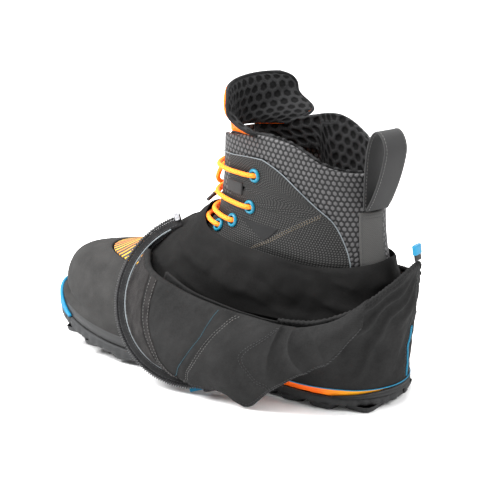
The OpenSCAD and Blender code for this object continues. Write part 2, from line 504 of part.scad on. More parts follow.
// The flap: the gaiter's front, turned inside out over the rim, down to the ground.
// Columns run from the zip to the back; each holds points from the rim down to the hem.
function zip_pt(a, h = 0) = let (p = on_zip(a, zip_r - chain_r - tape_w - 2, h))
    [p[0] / kx, p[1] / ky, 18 + (p[2] - sole_top) / kz];
FLAP = [
    [zip_pt(44), zip_pt(76), zip_pt(108), zip_pt(138), zip_pt(164)],
    [[-134, -64, 88], [-137, -70, 67], [-133, -76, 47], [-122, -78.5, 28], [-105, -75.5, 14.5]],
    [[-104, -69, 78], [-106, -79, 62], [-105, -83, 44], [-98, -83, 26], [-86, -76, 10]],
    [[-66, -74, 73], [-68, -83, 58], [-69, -86, 42], [-67, -84, 25], [-62, -76, 10]],
    [[-24, -75, 70], [-30, -83, 57], [-35, -86, 40], [-40, -80, 20], [-43, -71, 2.5]],
    [[-8, -74, 69.5], [-12, -80, 58], [-16, -82, 46], [-20, -80, 33], [-22, -76, 19]],
    [[6, -71, 71], [3, -76, 62], [1, -77, 53], [-1, -76, 44], [-3, -74, 34]],
    [[26, -62, 78], [26, -66, 72], [25, -67, 65], [24, -67, 58], [22, -66, 50]],
    [[42, -50, 92], [42, -53, 88], [42, -54, 84], [41, -54, 80], [40, -53, 75]]];
function flap_row(b) = [for (c = FLAP) let (i = min(floor(b * 4), 3)) spline(c, i, b * 4 - i)];
function flap_p(a, b) = let (r = flap_row(b), n = len(r) - 1, i = min(floor(a * n), n - 1), p = spline(r, i, a * n - i))
    [kx * p[0], ky * p[1], sole_top + kz * (p[2] - 18)];
function flap_n(a, b) = unit(cross(flap_p(a, min(b + .02, 1)) - flap_p(a, max(b - .02, 0)),
    flap_p(min(a + .02, 1), b) - flap_p(max(a - .02, 0), b)));
module flap_patch(a0, a1, na, b0, b1, nb, d0, d1) {
    grid = function (d) [for (j = [0:nb]) [for (i = [0:na])
        let (a = mix(a0, a1, i / na), b = mix(b1, b0, j / nb)) flap_p(a, b) + d * flap_n(a, b)]];
    skin(grid(d1), grid(d0));
}
module gaiter_flap() color([.19, .19, .2]) flap_patch(0, 1, 32, 0, 1, 8, 0, cloth_t);
module zip_facing() color([.29, .27, .27]) flap_patch(.008, .14, 6, .05, .97, 12, cloth_t + touch, cloth_t + touch + .5);
module seam_tape() color([.3, .28, .28]) flap_patch(.148, .176, 2, .05, .97, 12, cloth_t + touch, cloth_t + touch + .5);

// pull tab on the gaiter's back tip
tab_w = 9;
tab_p = wall_rim(0) + [-cloth_t / 2, 0, 3.4];
module gaiter_tab() color([.07, .07, .07]) translate(tab_p) rotate([0, -8, 0]) {
    translate([-1.2, -tab_w / 2, 0]) cube([2.4, tab_w, 10]);
}
module gaiter_tab_end() color([.0, .62, .8]) translate(tab_p) rotate([0, -8, 0])
    difference() {
        translate([-1.9, -tab_w / 2 - .6, 4.5]) cube([3.8, tab_w + 1.2, 7]);
        translate([-1.3, -tab_w / 2 - .1, 4]) cube([2.6, tab_w + .2, 6.3]);
    }

outsole_heel();
outsole_forefoot();
midsole();
heel_crampon_rim();
toe_crampon_rim();
shank_plate();
lasting_board();
footbed();
heel_counter();
toe_stiffener();
vamp();
heel_cup();
quarter_outer();
quarter_inner();
collar_lining();
film_overlay(-1);  // film_overlay_outer
film_overlay(1);  // film_overlay_inner
lace_stay(-1);  // lace_stay_outer
lace_stay(1);  // lace_stay_inner
flex_patch(-1);  // flex_patch_outer
flex_patch(1);  // flex_patch_inner
tongue_base();
tongue_top();
eyelets();
lace();
webbing_tabs();
lace_knot();
bow_loop_front();
bow_loop_back();
lace_end_front();
lace_end_back();
aglets();
heel_stay();
pull_loop();
toe_cover();
stripe_panel();
gaiter_wall();
gaiter_sleeve();
gaiter_flap();
rim_elastic();
hem_piping();
back_seam_piping();
zip_facing();
seam_tape();
zip_tape_flap();
zip_chain_flap();
zip_chain_toe();
zip_end_stops();
zip_slider();
zip_pull();
gaiter_tab();
gaiter_tab_end();
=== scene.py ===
# %% [markdown]
# # A mountaineering boot with its gaiter pushed down
# This lesson dresses a imported CAD model of a left boot. The CAD model says how big everything is and what
# moves. Here each part gets the surface that a hand would feel: rubber, microfibre, mesh, webbing and cord.
# First comes the frame, which is never moved.

# %% Load the frame
import math
import bpy
import numpy as np
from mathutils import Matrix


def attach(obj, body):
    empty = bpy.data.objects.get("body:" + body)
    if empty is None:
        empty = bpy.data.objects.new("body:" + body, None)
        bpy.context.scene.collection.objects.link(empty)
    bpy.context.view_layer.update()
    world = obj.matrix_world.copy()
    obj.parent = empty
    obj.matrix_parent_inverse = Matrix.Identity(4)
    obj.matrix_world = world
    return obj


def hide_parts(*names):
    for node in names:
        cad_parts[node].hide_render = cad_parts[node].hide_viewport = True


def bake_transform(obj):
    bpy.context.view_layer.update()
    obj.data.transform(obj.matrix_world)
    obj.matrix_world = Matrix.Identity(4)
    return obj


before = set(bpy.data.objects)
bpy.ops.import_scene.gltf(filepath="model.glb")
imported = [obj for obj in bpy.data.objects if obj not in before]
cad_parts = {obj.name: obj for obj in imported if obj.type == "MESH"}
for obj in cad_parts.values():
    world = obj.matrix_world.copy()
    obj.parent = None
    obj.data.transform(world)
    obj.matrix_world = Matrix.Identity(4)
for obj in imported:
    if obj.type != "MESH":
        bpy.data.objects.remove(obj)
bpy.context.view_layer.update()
MM = 0.001

# %% [markdown]
# ## The camera and the light
# The boot is looked at from its outer side, a little from behind and above, through a long lens, so that
# parallel edges stay nearly parallel. The light is that of a small white studio: one large soft lamp above,
# one at each side, one behind, and a pale floor that bounces some of it back.

# %% Camera and lamps
from mathutils import Vector

def look_from(azimuth, elevation, distance, target):
    """Place on a sphere round the target, and the rotation that looks at it."""
    a, e = math.radians(azimuth), math.radians(elevation)
    away = Vector((math.sin(a) * math.cos(e), -math.cos(a) * math.cos(e), math.sin(e)))
    return Vector(target) + away * distance, away.to_track_quat("Z", "Y").to_euler()

camera = bpy.data.objects.new("camera", bpy.data.cameras.new("camera"))
bpy.context.collection.objects.link(camera)
camera.data.lens, camera.data.sensor_width = 143, 36
camera.location, camera.rotation_euler = look_from(32, 18, 1.5, (-.086, 0, .0945))
bpy.context.scene.camera = camera

def lamp(name, azimuth, elevation, distance, size, watts, target=(-.1, 0, .1)):
    data = bpy.data.lights.new(name, "AREA")
    data.shape, data.size, data.energy = "DISK", size, watts
    o = bpy.data.objects.new(name, data)
    o.location, o.rotation_euler = look_from(azimuth, elevation, distance, target)
    bpy.context.collection.objects.link(o)

lamp("sky", -30, 72, 1.7, 1.4, 62)
lamp("key", -45, 38, 1.4, .6, 30)
lamp("side", 100, 35, 1.4, .7, 17)
lamp("rear", 200, 35, 1.5, .8, 9)
world = bpy.data.worlds.new("studio")
world.use_nodes = True
world.node_tree.nodes["Background"].inputs[0].default_value = (1, 1, 1, 1)
world.node_tree.nodes["Background"].inputs[1].default_value = .55
bpy.context.scene.world = world
bpy.context.scene.view_settings.view_transform = "Standard"
print("camera at", [round(c, 3) for c in camera.location])

# %% [markdown]
# ## Curves through tables
# A shoe has hardly any straight line, so its sizes are kept in small tables, and a smooth curve runs through
# each table's rows. The curve is a cubic in each interval, with the slope at a row taken from its neighbours.

# %% A smooth curve through a table
def curve(rows, x, k=1):
    """Cubic through the rows: column 0 is the input, column k the output. x is an array of any shape."""
    rows = np.asarray(rows, float)
    xs, ys, n = rows[:, 0], rows[:, k], len(rows)
    lo, hi = np.maximum(np.arange(n) - 1, 0), np.minimum(np.arange(n) + 1, n - 1)
    slope = (ys[hi] - ys[lo]) / (xs[hi] - xs[lo])
    x = np.asarray(x, float)
    i = np.clip(np.searchsorted(xs, x, side="right") - 1, 0, n - 2)
    h = xs[i + 1] - xs[i]
    f = np.clip((x - xs[i]) / h, 0, 1)
    return ((2*f**3 - 3*f**2 + 1) * ys[i] + (f**3 - 2*f**2 + f) * h * slope[i]
            + (3*f**2 - 2*f**3) * ys[i + 1] + (f**3 - f**2) * h * slope[i + 1])

def mix(a, b, f):
    return a + (b - a) * f

def unit(v):
    return v / np.maximum(np.linalg.norm(v, axis=-1, keepdims=True), 1e-9)

def smooth(x, a, b):
    """0 below a, 1 above b, and an even ramp between."""
    f = np.clip((x - a) / (b - a), 0, 1)
    return f * f * (3 - 2 * f)

# %% [markdown]
# ## The sole's outline and the last
# A shoemaker builds on a last, a block in the shape of the foot. Here the last is a function of an angle
# round the foot, 0 at the heel and 180 at the toe, and of a ring from the sole, 0, to the collar, 7. Every
# panel of the upper is cut from this one surface, at its own height above it, so that the layers lie on each
# other as the sewn ones do.

# %% Sole outline
LUG, RUBBER_TOP, SOLE_TOP = 4, 10, 18
HEEL_X, SOLE_LENGTH = 46, 308
OUTLINE = [[0, 81, 81], [.06, 75, 75], [.15, 62, 62], [.3, 44, 43], [.45, 37, 34], [.6, 47, 47],
           [.72, 56, 62], [.84, 62, 72], [.94, 66, 76], [1, 70, 80]]
ARCH = [[0, 0], [.2, 1], [.38, 4], [.6, 2], [1, 2]]

def share(t):
    return (1 - np.cos(np.radians(t))) / 2

def spring(u):
    """Lift of the toe: a parabola that starts at the ball of the foot."""
    return 20 * np.clip((u - .52) / .48, 0, 1) ** 2

def toe_shift(u):
    return 6 * np.clip(2 * u - 1, 0, 1) ** 2

def sole_edge(t):
    t = np.asarray(t, float)
    u, s = share(t), np.sin(np.radians(t))
    w = np.where(s < 0, curve(OUTLINE, u, 1), curve(OUTLINE, u, 2))
    return np.stack([HEEL_X - SOLE_LENGTH * u, s * w + toe_shift(u)], -1)

def sole_edge_in(t, d):
    """The outline moved inwards by d along its own normal."""
    q = sole_edge(t + 1) - sole_edge(t - 1)
    return sole_edge(t) + np.asarray(d)[..., None] * unit(np.stack([-q[..., 1], q[..., 0]], -1))

def sole_rise(u):
    return curve(ARCH, u) + spring(u)

# %% The last
RINGS = np.array([
    [0, 38, 18, -246, 18, 0, 62, 44, 38, 52, 62, 62, 40, 36, 56, 66, 1],
    [1, 41, 36, -251, 36, 0, 62, 45, 40, 53, 60, 62, 41, 38, 56, 63, .7],
    [2, 41, 56, -238, 64, 0, 58, 43, 40, 47, 50, 58, 41, 40, 49, 53, .25],
    [3, 37, 76, -196, 80, 2, 50, 42, 41, 42, 45, 50, 41, 41, 43, 46, 0],
    [4, 33, 94, -152, 98, 5, 45, 41, 40, 40, 42, 45, 41, 40, 40, 42, 0],
    [5, 28, 114, -113, 123, 3, 42, 40, 38.5, 38, 40, 42, 40, 38.5, 38, 40, 0],
    [6, 26, 140, -106, 150, 3, 40, 39, 38, 37, 38, 40, 39, 38, 37, 38, 0],
    [7, 27, 173, -104, 187, 20, 41, 40, 39, 37, 38, 41, 40, 39, 37, 38, 0]], float)
CREST = [[0, 0, 0], [.15, .05, .25], [.25, .2, .65], [.4, .65, 1], [.55, .76, .85], [.7, .6, .5],
         [.85, .3, .2], [1, 0, 0]]

def last(t, v):
    """Point of the last: x and z run from the ring's back to its front with the cosine of the angle,
    y is the sine times a half width, and the collar's crest and the sole's rise are added to z."""
    t, v = np.broadcast_arrays(np.asarray(t, float), np.asarray(v, float))
    u, s = share(t), np.sin(np.radians(t))
    r = [curve(RINGS, v, k) for k in range(17)]
    i = np.clip((u * 4).astype(int), 0, 3)
    f = u * 4 - i
    def width(first):
        y = np.stack(r[first:first + 5])
        m = np.stack([(y[min(k + 1, 4)] - y[max(k - 1, 0)]) / (min(k + 1, 4) - max(k - 1, 0))
                      for k in range(5)])
        pick = lambda a, j: np.take_along_axis(a, j[None], 0)[0]
        return ((2*f**3 - 3*f**2 + 1) * pick(y, i) + (f**3 - 2*f**2 + f) * pick(m, i)
                + (3*f**2 - 2*f**3) * pick(y, i + 1) + (f**3 - f**2) * pick(m, i + 1))
    w = np.where(s < 0, width(6), width(11))
    crest = np.where(s < 0, curve(CREST, u, 1), curve(CREST, u, 2))
    x = mix(r[1], r[3], u)
    y = s * w + toe_shift(u) * np.clip(r[16] + .2, 0, 1)
    z = mix(r[2], r[4], u) + r[5] * crest + r[16] * sole_rise(u)
    return np.stack([x, y, z], -1)

def last_normal(t, v):
    a = last(t + 1, v) - last(t - 1, v)
    b = last(t, np.minimum(v + .04, 7)) - last(t, np.maximum(v - .04, 0))
    return unit(np.cross(a, b))

def on_last(t, v, d=0):
    t, v = np.broadcast_arrays(np.asarray(t, float), np.asarray(v, float))
    return last(t, v) + np.asarray(d)[..., None] * last_normal(t, v)

print("collar height in mm:", round(float(last(np.linspace(0, 360, 91), np.full(91, 7.))[:, 2].max()), 1))

# %% [markdown]
# ## From arrays to meshes
# A sheet of material is two grids of points, its outer and its inner face, closed along the border. Its UV
# map is measured in millimetres along the outer face, so that a weave or a dot pattern keeps its real size.

# %% Grid meshes
PIECES = {}

def add_mesh(name, verts, faces, uv=None, material=None, body="boot"):
    """verts in mm, faces as an array of quads or a list, uv one pair for each vertex, in mm."""
    me = bpy.data.meshes.new(name)
    me.from_pydata((np.asarray(verts) * MM).tolist(), [],
                   faces.tolist() if isinstance(faces, np.ndarray) else faces)
    if uv is not None:
        layer = me.uv_layers.new(name="UVMap")
        loops = np.empty(len(me.loops), np.int32)
        me.loops.foreach_get("vertex_index", loops)
        layer.data.foreach_set("uv", np.asarray(uv, float)[loops].ravel())
    me.polygons.foreach_set("use_smooth", np.ones(len(me.polygons), bool))
    me.update()
    o = bpy.data.objects.new(name, me)
    bpy.context.collection.objects.link(o)
    if material:
        me.materials.append(material)
    if body:
        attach(o, body)
    PIECES[name] = o
    return o

def dress(node):
    """The piece stands for a CAD node, which is hidden."""
    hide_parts(node)

def grid_faces(m, n, first=0, wrap=False, flip=False):
    i, j = np.meshgrid(np.arange(m - 1), np.arange(n if wrap else n - 1), indexing="ij")
    a, b = first + i * n + j, first + i * n + (j + 1) % n
    q = np.stack([a, b, b + n, a + n], -1).reshape(-1, 4)
    return q[:, ::-1] if flip else q

def arc_uv(grid):
    """Length along the rows and along the columns, measured from the grid's middle."""
    du = np.linalg.norm(np.diff(grid, axis=1), axis=-1)
    dv = np.linalg.norm(np.diff(grid, axis=0), axis=-1)
    u = np.concatenate([np.zeros((len(grid), 1)), np.cumsum(du, 1)], 1)
    v = np.concatenate([np.zeros((1, grid.shape[1])), np.cumsum(dv, 0)], 0)
    m, n = u.shape[0] // 2, u.shape[1] // 2
    return np.stack([u - u[:, n:n + 1], v - v[m:m + 1]], -1)

def sheet_piece(name, outer, inner, material, wrap=False, body="boot", uv=None):
    """Closed slab between two grids. Rows run up, columns run anticlockwise seen from above."""
    m, n = outer.shape[:2]
    k = m * n
    faces = [grid_faces(m, n, 0, wrap), grid_faces(m, n, k, wrap, flip=True)]
    j = np.arange(n if wrap else n - 1)
    jn = (j + 1) % n
    e = (m - 1) * n
    faces += [np.stack([jn, j, k + j, k + jn], -1), np.stack([e + j, e + jn, k + e + jn, k + e + j], -1)]
    if not wrap:
        i = np.arange(m - 1) * n
        faces += [np.stack([i, i + n, k + i + n, k + i], -1),
                  np.stack([i + 2 * n - 1, i + n - 1, k + i + n - 1, k + i + 2 * n - 1], -1)]
    if uv is None:
        uv = arc_uv(outer)
    uv = np.concatenate([uv.reshape(-1, 2)] * 2)
    return add_mesh(name, np.concatenate([outer.reshape(-1, 3), inner.reshape(-1, 3)]),
                    np.concatenate(faces), uv, material, body=body)

# %% [markdown]
# A panel is a sheet cut from the last. Its edge is rounded: near the border, the outer face comes down on a
# quarter circle, as the turned or pressed edge of a real panel does.

# %% Panels of the upper
def round_edge(grid, r):
    """Share of the full thickness, rising on a quarter circle of radius r from the grid's border."""
    uv = arc_uv(grid)
    du = np.minimum(uv[..., 0] - uv[:, :1, 0], uv[:, -1:, 0] - uv[..., 0])
    dv = np.minimum(uv[..., 1] - uv[:1, :, 1], uv[-1:, :, 1] - uv[..., 1])
    s = np.clip(np.minimum(du, dv) / r, 0, 1)
    return np.sqrt(np.clip(1 - (1 - s) ** 2, 0, 1))

def spaced(n, grow=1.5):
    """n + 1 values from 0 to 1 that crowd towards both ends."""
    x = np.linspace(-1, 1, n + 1)
    return .5 + .5 * np.sign(x) * (1 - (1 - np.abs(x)) ** grow)

def panel(name, ta, tb, nt, va, vb, nv, lo, hi, material, edge=1.2, relief=None, body="boot"):
    """ta and tb are the side limits as functions of the ring, va and vb numbers or functions of the angle."""
    g, f = np.meshgrid(spaced(nt), spaced(nv))
    as_f = lambda q: q if callable(q) else (lambda x: np.full(np.shape(x), float(q)))
    ta, tb, va, vb = map(as_f, (ta, tb, va, vb))
    v0 = mix(va(np.full(f.shape, 180.)), vb(np.full(f.shape, 180.)), f)
    t = mix(ta(v0), tb(v0), g)
    v = mix(va(t), vb(t), f)
    base = on_last(t, v, lo)
    n = last_normal(t, v)
    h = (hi - lo) * (.25 + .75 * round_edge(base, edge))
    if relief is not None:
        h = h + relief(t, v, arc_uv(base)) * round_edge(base, 3 * edge)
    return sheet_piece(name, base + h[..., None] * n, base, material, body=body)

# %% [markdown]
# Round parts, such as cords, pipings and rims, are a profile carried along a line. The frame that carries the
# profile turns as little as it can from one station to the next, so that a braid does not twist.

# %% Profiles carried along a line
def spline(points, k):
    """Catmull-Rom line through the points, k steps to each interval. Works on points or on whole rows."""
    p = np.asarray(points, float)
    a, d = np.concatenate([p[:1], p[:-2]]), np.concatenate([p[2:], p[-1:]])
    b, c = p[:-1], p[1:]
    f = (np.arange(k) / k).reshape(-1, *[1] * p.ndim)
    q = b + f * (c - a) / 2 + f**2 * (a - 2.5 * b + 2 * c - d / 2) + f**3 * (1.5 * (b - c) + (d - a) / 2)
    return np.concatenate([np.moveaxis(q, 0, 1).reshape(-1, *p.shape[1:]), p[-1:]])

def respaced(path, step):
    """The same line with points at even steps."""
    d = np.concatenate([[0], np.cumsum(np.linalg.norm(np.diff(path, axis=0), axis=1))])
    s = np.linspace(0, d[-1], max(int(round(d[-1] / step)), 2) + 1)
    return np.stack([np.interp(s, d, path[:, k]) for k in range(3)], 1)

def frames(path, up=None):
    """Tangent, side and normal at each point. With up given, the normal is up made square to the line."""
    t = unit(np.gradient(path, axis=0))
    if up is not None:
        s = unit(np.cross(np.broadcast_to(up, path.shape), t))
        return t, s, np.cross(t, s)
    n = [unit(np.cross(t[0], [.3, .5, .81]))]
    for k in range(1, len(path)):
        n.append(unit(n[-1] - t[k] * (n[-1] @ t[k])))
    n = np.array(n)
    return t, np.cross(n, t), n

def swept_piece(name, path, profile, material, up=None, body="boot", scale=None):
    """profile: points (side, normal) anticlockwise. Each end is closed with one face."""
    _, s, n = frames(path, up)
    prof = np.asarray(profile, float)
    k = len(prof)
    sc = np.ones(len(path)) if scale is None else scale
    v = path[:, None] + sc[:, None, None] * (prof[None, :, :1] * s[:, None] + prof[None, :, 1:] * n[:, None])
    d = np.concatenate([[0], np.cumsum(np.linalg.norm(np.diff(path, axis=0), axis=1))])
    w = np.concatenate([[0], np.cumsum(np.linalg.norm(np.diff(prof, axis=0), axis=1))])
    uv = np.stack(np.broadcast_arrays(w[None], d[:, None]), -1).reshape(-1, 2)
    faces = grid_faces(len(path), k, wrap=True).tolist()
    faces += [list(range(k))[::-1], list(range((len(path) - 1) * k, len(path) * k))]
    return add_mesh(name, v.reshape(-1, 3), faces, uv, material, body=body)

def round_profile(r, n=12):
    a = np.arange(n) * 2 * np.pi / n
    return np.stack([r * np.cos(a), r * np.sin(a)], 1)

def strap_profile(w, h, n=3):
    """A flat strap of width w and thickness h with rounded long edges."""
    a = np.linspace(-np.pi / 2, np.pi / 2, n + 2)
    right = np.stack([w / 2 - h / 2 + h / 2 * np.cos(a), h / 2 * np.sin(a)], 1)
    return np.concatenate([right, -right])

def spread(name, template, faces, at, x, y, z, material, body="boot", jitter=None):
    """Copies of one small shape: template points are laid along the axes x, y, z at each place."""
    tpl = np.asarray(template, float)
    if jitter is not None:
        x, y = (x * np.cos(jitter)[:, None] + y * np.sin(jitter)[:, None],
                y * np.cos(jitter)[:, None] - x * np.sin(jitter)[:, None])
    v = (at[:, None] + tpl[None, :, :1] * x[:, None] + tpl[None, :, 1:2] * y[:, None]
         + tpl[None, :, 2:] * z[:, None])
    f = (np.asarray(faces)[None] + (np.arange(len(at)) * len(tpl))[:, None, None]).reshape(-1, 4)
    uv = np.tile(tpl[:, :2], (len(at), 1))
    return add_mesh(name, v.reshape(-1, 3), f, uv, material, body=body)

def pill(length, r, n=6, flat=1.0):
    """A small thread or tooth: rings of n points along x that close at both ends."""
    x = np.array([-.5, -.42, -.2, .2, .42, .5]) * length
    rr = np.array([.02, .7, 1, 1, .7, .02]) * r
    a = np.arange(n) * 2 * np.pi / n
    p = np.stack([np.broadcast_to(x[:, None], (6, n)), rr[:, None] * np.cos(a),
                  flat * rr[:, None] * np.sin(a)], -1)
    return p.reshape(-1, 3), grid_faces(6, n, wrap=True)

def stitches(name, path, normals, material, pitch=2.6, length=1.9, r=.22, lift=.05, body="boot"):
    """A row of threads along a line on a surface. Each thread lies in the cloth by a part of its radius."""
    d = np.concatenate([[0], np.cumsum(np.linalg.norm(np.diff(path, axis=0), axis=1))])
    s = np.arange(pitch / 2, d[-1], pitch)
    at = np.stack([np.interp(s, d, path[:, k]) for k in range(3)], 1)
    nn = unit(np.stack([np.interp(s, d, normals[:, k]) for k in range(3)], 1))
    tt = np.stack([np.interp(s, d, np.gradient(path[:, k], np.maximum(d, np.arange(len(d)) * 1e-6)))
                   for k in range(3)], 1)
    tt = unit(tt - nn * (tt * nn).sum(1, keepdims=True))
    tpl, f = pill(length, r)
    return spread(name, tpl, f, at + nn * lift, tt, np.cross(nn, tt), nn, material, body)

# %% [markdown]
# ## Materials
# A shader is a small formula. A light wrapper lets the formulas be written as formulas: a Value stands for
# a socket, and adding or multiplying two of them adds the Math node. Colours are mixed with Mix nodes.

# %% A wrapper for sockets
class Value:
    def __init__(self, shader, socket):
        self.shader, self.socket = shader, socket
    def _math(self, op, *args):
        return self.shader.node("ShaderNodeMath", args, operation=op)[0]
    def __add__(self, o): return self._math("ADD", self, o)
    def __radd__(self, o): return self._math("ADD", o, self)
    def __sub__(self, o): return self._math("SUBTRACT", self, o)
    def __rsub__(self, o): return self._math("SUBTRACT", o, self)
    def __mul__(self, o): return self._math("MULTIPLY", self, o)
    def __rmul__(self, o): return self._math("MULTIPLY", o, self)
    def __truediv__(self, o): return self._math("DIVIDE", self, o)
    def __pow__(self, o): return self._math("POWER", self, o)
    def __gt__(self, o): return self._math("GREATER_THAN", self, o)
    def __lt__(self, o): return self._math("LESS_THAN", self, o)
    def __abs__(self): return self._math("ABSOLUTE", self)
    def __mod__(self, o): return self._math("FLOORED_MODULO", self, o)
    def sin(self): return self._math("SINE", self)
    def least(self, o): return self._math("MINIMUM", self, o)
    def most(self, o): return self._math("MAXIMUM", self, o)

class Shader:
    """One material: its nodes, and its principled shader's sockets."""
    def __init__(self, name):
        self.mat = bpy.data.materials.new(name)
        self.mat.use_nodes = True
        self.tree = self.mat.node_tree
        self.bsdf = self.tree.nodes["Principled BSDF"]
    def node(self, kind, inputs=(), **settings):
        """Any node: settings first, then its sockets by place or by name. Returns its outputs."""
        n = self.tree.nodes.new(kind)
        for key, val in settings.items():
            setattr(n, key, val)
        for key, val in (inputs.items() if isinstance(inputs, dict) else enumerate(inputs)):
            if isinstance(val, Value):
                self.tree.links.new(val.socket, n.inputs[key])
            elif val is not None:
                n.inputs[key].default_value = val
        return [Value(self, s) for s in n.outputs if s.enabled]
    def ramp(self, fac, *stops):
        """Piecewise mix: stops are (position, value or colour)."""
        out = self.node("ShaderNodeValToRGB", [fac])
        r = out[0].socket.node.color_ramp
        for k, (pos, c) in enumerate(stops):
            e = r.elements[k] if k < 2 else r.elements.new(pos)
            e.position = pos
            e.color = (*c, 1) if hasattr(c, "__len__") else (c, c, c, 1)
        return out[0]
    def tint(self, fac, a, b):
        """Colour a where fac is 0, b where it is 1."""
        ins = {0: fac}
        for k, c in ((6, a), (7, b)):
            ins[k] = c if isinstance(c, Value) else (*c, 1)
        return self.node("ShaderNodeMix", ins, data_type="RGBA")[0]
    def place(self):
        """Object coordinates in millimetres."""
        v = self.node("ShaderNodeTexCoord")
        p = [o for o in v if o.socket.name == "Object"][0]
        return self.node("ShaderNodeVectorMath", {0: p, "Scale": 1000.0}, operation="SCALE")[0]
    def uv(self):
        """The piece's own map, in millimetres along the cloth."""
        m = self.node("ShaderNodeUVMap", uv_map="UVMap")[0]
        return self.node("ShaderNodeSeparateXYZ", [m])[:2]
    def noise(self, where, scale, detail=3, rough=.55, distort=0):
        return self.node("ShaderNodeTexNoise", {"Vector": where, "Scale": scale, "Detail": detail,
                         "Roughness": rough, "Distortion": distort})[0]
    def bump(self, height, strength, distance, normal=None):
        return self.node("ShaderNodeBump", {"Height": height, "Strength": strength,
                         "Distance": distance * MM, "Normal": normal})[0]
    def set(self, **sockets):
        """Sockets of the principled shader, with _ for a space."""
        for key, val in sockets.items():
            s = self.bsdf.inputs[key.replace("_", " ")]
            if isinstance(val, Value):
                self.tree.links.new(val.socket, s)
            else:
                s.default_value = (*val, 1) if hasattr(val, "__len__") and len(val) == 3 else val
        return self.mat

# %% [markdown]
# ### Cloth
# Stretch softshell is a dense twill with a dull, slightly hairy face. Its threads are about half a millimetre
# wide, so they show as a fine grain, and the cloth's tone drifts a little over the width of a hand.

# %% Softshell, microfibre and taffeta
def softshell(name, base, light, grain=1.0, rough=.92):
    s = Shader(name)
    u, v = s.uv()
    p = s.place()
    twill = ((u + v) * 5.2).sin() * ((u - v) * 2.6).sin()
    fuzz = s.noise(p, .9, 6, .7)
    drift = s.noise(p, .035, 3)
    tone = (drift * .55 + fuzz * .45 + twill * .06)
    colour = s.tint(s.ramp(tone, (.32, 0), (.68, 1)), base, light)
    height = twill * .35 + fuzz * 1.2
    return s.set(Base_Color=colour, Roughness=rough - fuzz * .12, Normal=s.bump(height, .55 * grain, .25),
                 Specular_IOR_Level=.12)

SOFTSHELL = softshell("softshell_black", (.0055, .0055, .0055), (.019, .0187, .0187))
# The sleeve gets a darker copy of the same softshell. The extra darkness is painted shade for the recess the
# sleeve sits in, under the wall and the flap.
SHADED_SLEEVE_SOFTSHELL = softshell("softshell_sleeve_painted_shade", (.0035, .0034, .0034), (.0105, .0102, .01))

def microfibre():
    """Suede-like face: fine pores and a rough nap."""
    s = Shader("microfibre_toe")
    p = s.place()
    pores = s.node("ShaderNodeTexVoronoi", {"Vector": p, "Scale": 1.5})[0]
    nap = s.noise(p, 1.6, 6, .7)
    drift = s.noise(p, .05, 4)
    tone = s.ramp(nap * .5 + drift * .5, (.35, 0), (.65, 1))
    return s.set(Base_Color=s.tint(tone, (.016, .0157, .0155), (.038, .0373, .0365)),
                 Roughness=.86 + nap * .08, Normal=s.bump(nap + pores * .5, .5, .22),
                 Specular_IOR_Level=.15)

TOE_FABRIC = microfibre()

def taffeta(name, base, light):
    """Plain weave: threads over and under at a pitch of a third of a millimetre."""
    s = Shader(name)
    u, v = s.uv()
    weave = (u * 9.5).sin() * (v * 9.5).sin()
    drift = s.noise(s.place(), .12, 4)
    tone = s.ramp(drift + weave * .08, (.35, 0), (.65, 1))
    return s.set(Base_Color=s.tint(tone, base, light), Roughness=.7,
                 Normal=s.bump(weave + drift * 3, .4, .15), Specular_IOR_Level=.15)

FACING = taffeta("facing_grey", (.0055, .0048, .0048), (.017, .0153, .015))
LINING_BLACK = taffeta("lining_black", (.005, .005, .0055), (.012, .012, .0125))

def webbing(name, base, light, pitch=1.5):
    """Woven webbing: ribs across the strap, each made of slanted threads that change sides."""
    s = Shader(name)
    u, v = s.uv()
    rib = abs((v * (math.pi / pitch)).sin())
    row = (v * (1 / pitch) + (u * (math.pi / pitch / 1.2)).sin() * .35)
    chev = abs(((u * (1 / pitch) + row * .5) % 1) * 2 - 1)
    fuzz = s.noise(s.place(), 1.5, 5, .7)
    tone = s.ramp(chev * .5 + rib * .3 + fuzz * .3, (.25, 0), (.85, 1))
    return s.set(Base_Color=s.tint(tone, base, light), Roughness=.8 + fuzz * .1,
                 Normal=s.bump(rib * .7 + chev * .6, .45, .2), Sheen_Weight=.02)

WEBBING_BLACK = webbing("webbing_black", (.006, .006, .0063), (.017, .0167, .017), .9)
WEBBING_GREY = webbing("webbing_grey", (.022, .0215, .0205), (.052, .051, .049), .9)

# %% [markdown]
# ### Mesh, film and honeycomb
# All three are built on one grid of hexagons. The distance to the nearest cell's middle is found for two
# rectangular grids that are half a cell apart, and the smaller of the two is kept.

# %% Hexagon grid
def hexagons(u, v, pitch):
    """Distance in a hexagon's own measure from the nearest cell centre: 0 in the middle, about .5 at an
    edge. pitch is the distance of two centres. Uses two grids of 1 by 1.732 pitches."""
    def cell(du, dv):
        x = abs(((u * (1 / pitch) + du) % 1) - .5)
        y = abs(((v * (1 / pitch / 1.7320508) + dv) % 1) - .5) * 1.7320508
        return x.most(x * .5 + y * .8660254)
    return cell(0, 0).least(cell(.5, .5))

def hex_mesh(name, pitch, dot, ground, light, rough=.62, relief=.5, edge=.08):
    """Knit with raised dots printed on it."""
    s = Shader(name)
    u, v = s.uv()
    d = hexagons(u, v, pitch)
    p = s.place()
    mask = s.ramp(d, (dot - edge, 1), (dot + edge * .4, 0))
    fuzz = s.noise(p, 1.2, 5, .7)
    drift = s.noise(p, .05, 3)
    top = s.tint(s.ramp(drift * .6 + fuzz * .4, (.35, 0), (.65, 1)), tuple(.75 * c for c in light), light)
    ground_c = s.tint(fuzz, ground, tuple(1.8 * c for c in ground))
    height = mask - d * .5 + fuzz * .15
    return s.set(Base_Color=s.tint(mask, ground_c, top), Roughness=rough + fuzz * .15,
                 Normal=s.bump(height, .8, relief), Specular_IOR_Level=.35)

HEX_MESH = hex_mesh("hex_mesh_grey", 4.3, .35, (.002, .002, .0022), (.078, .076, .078), .6, .8)

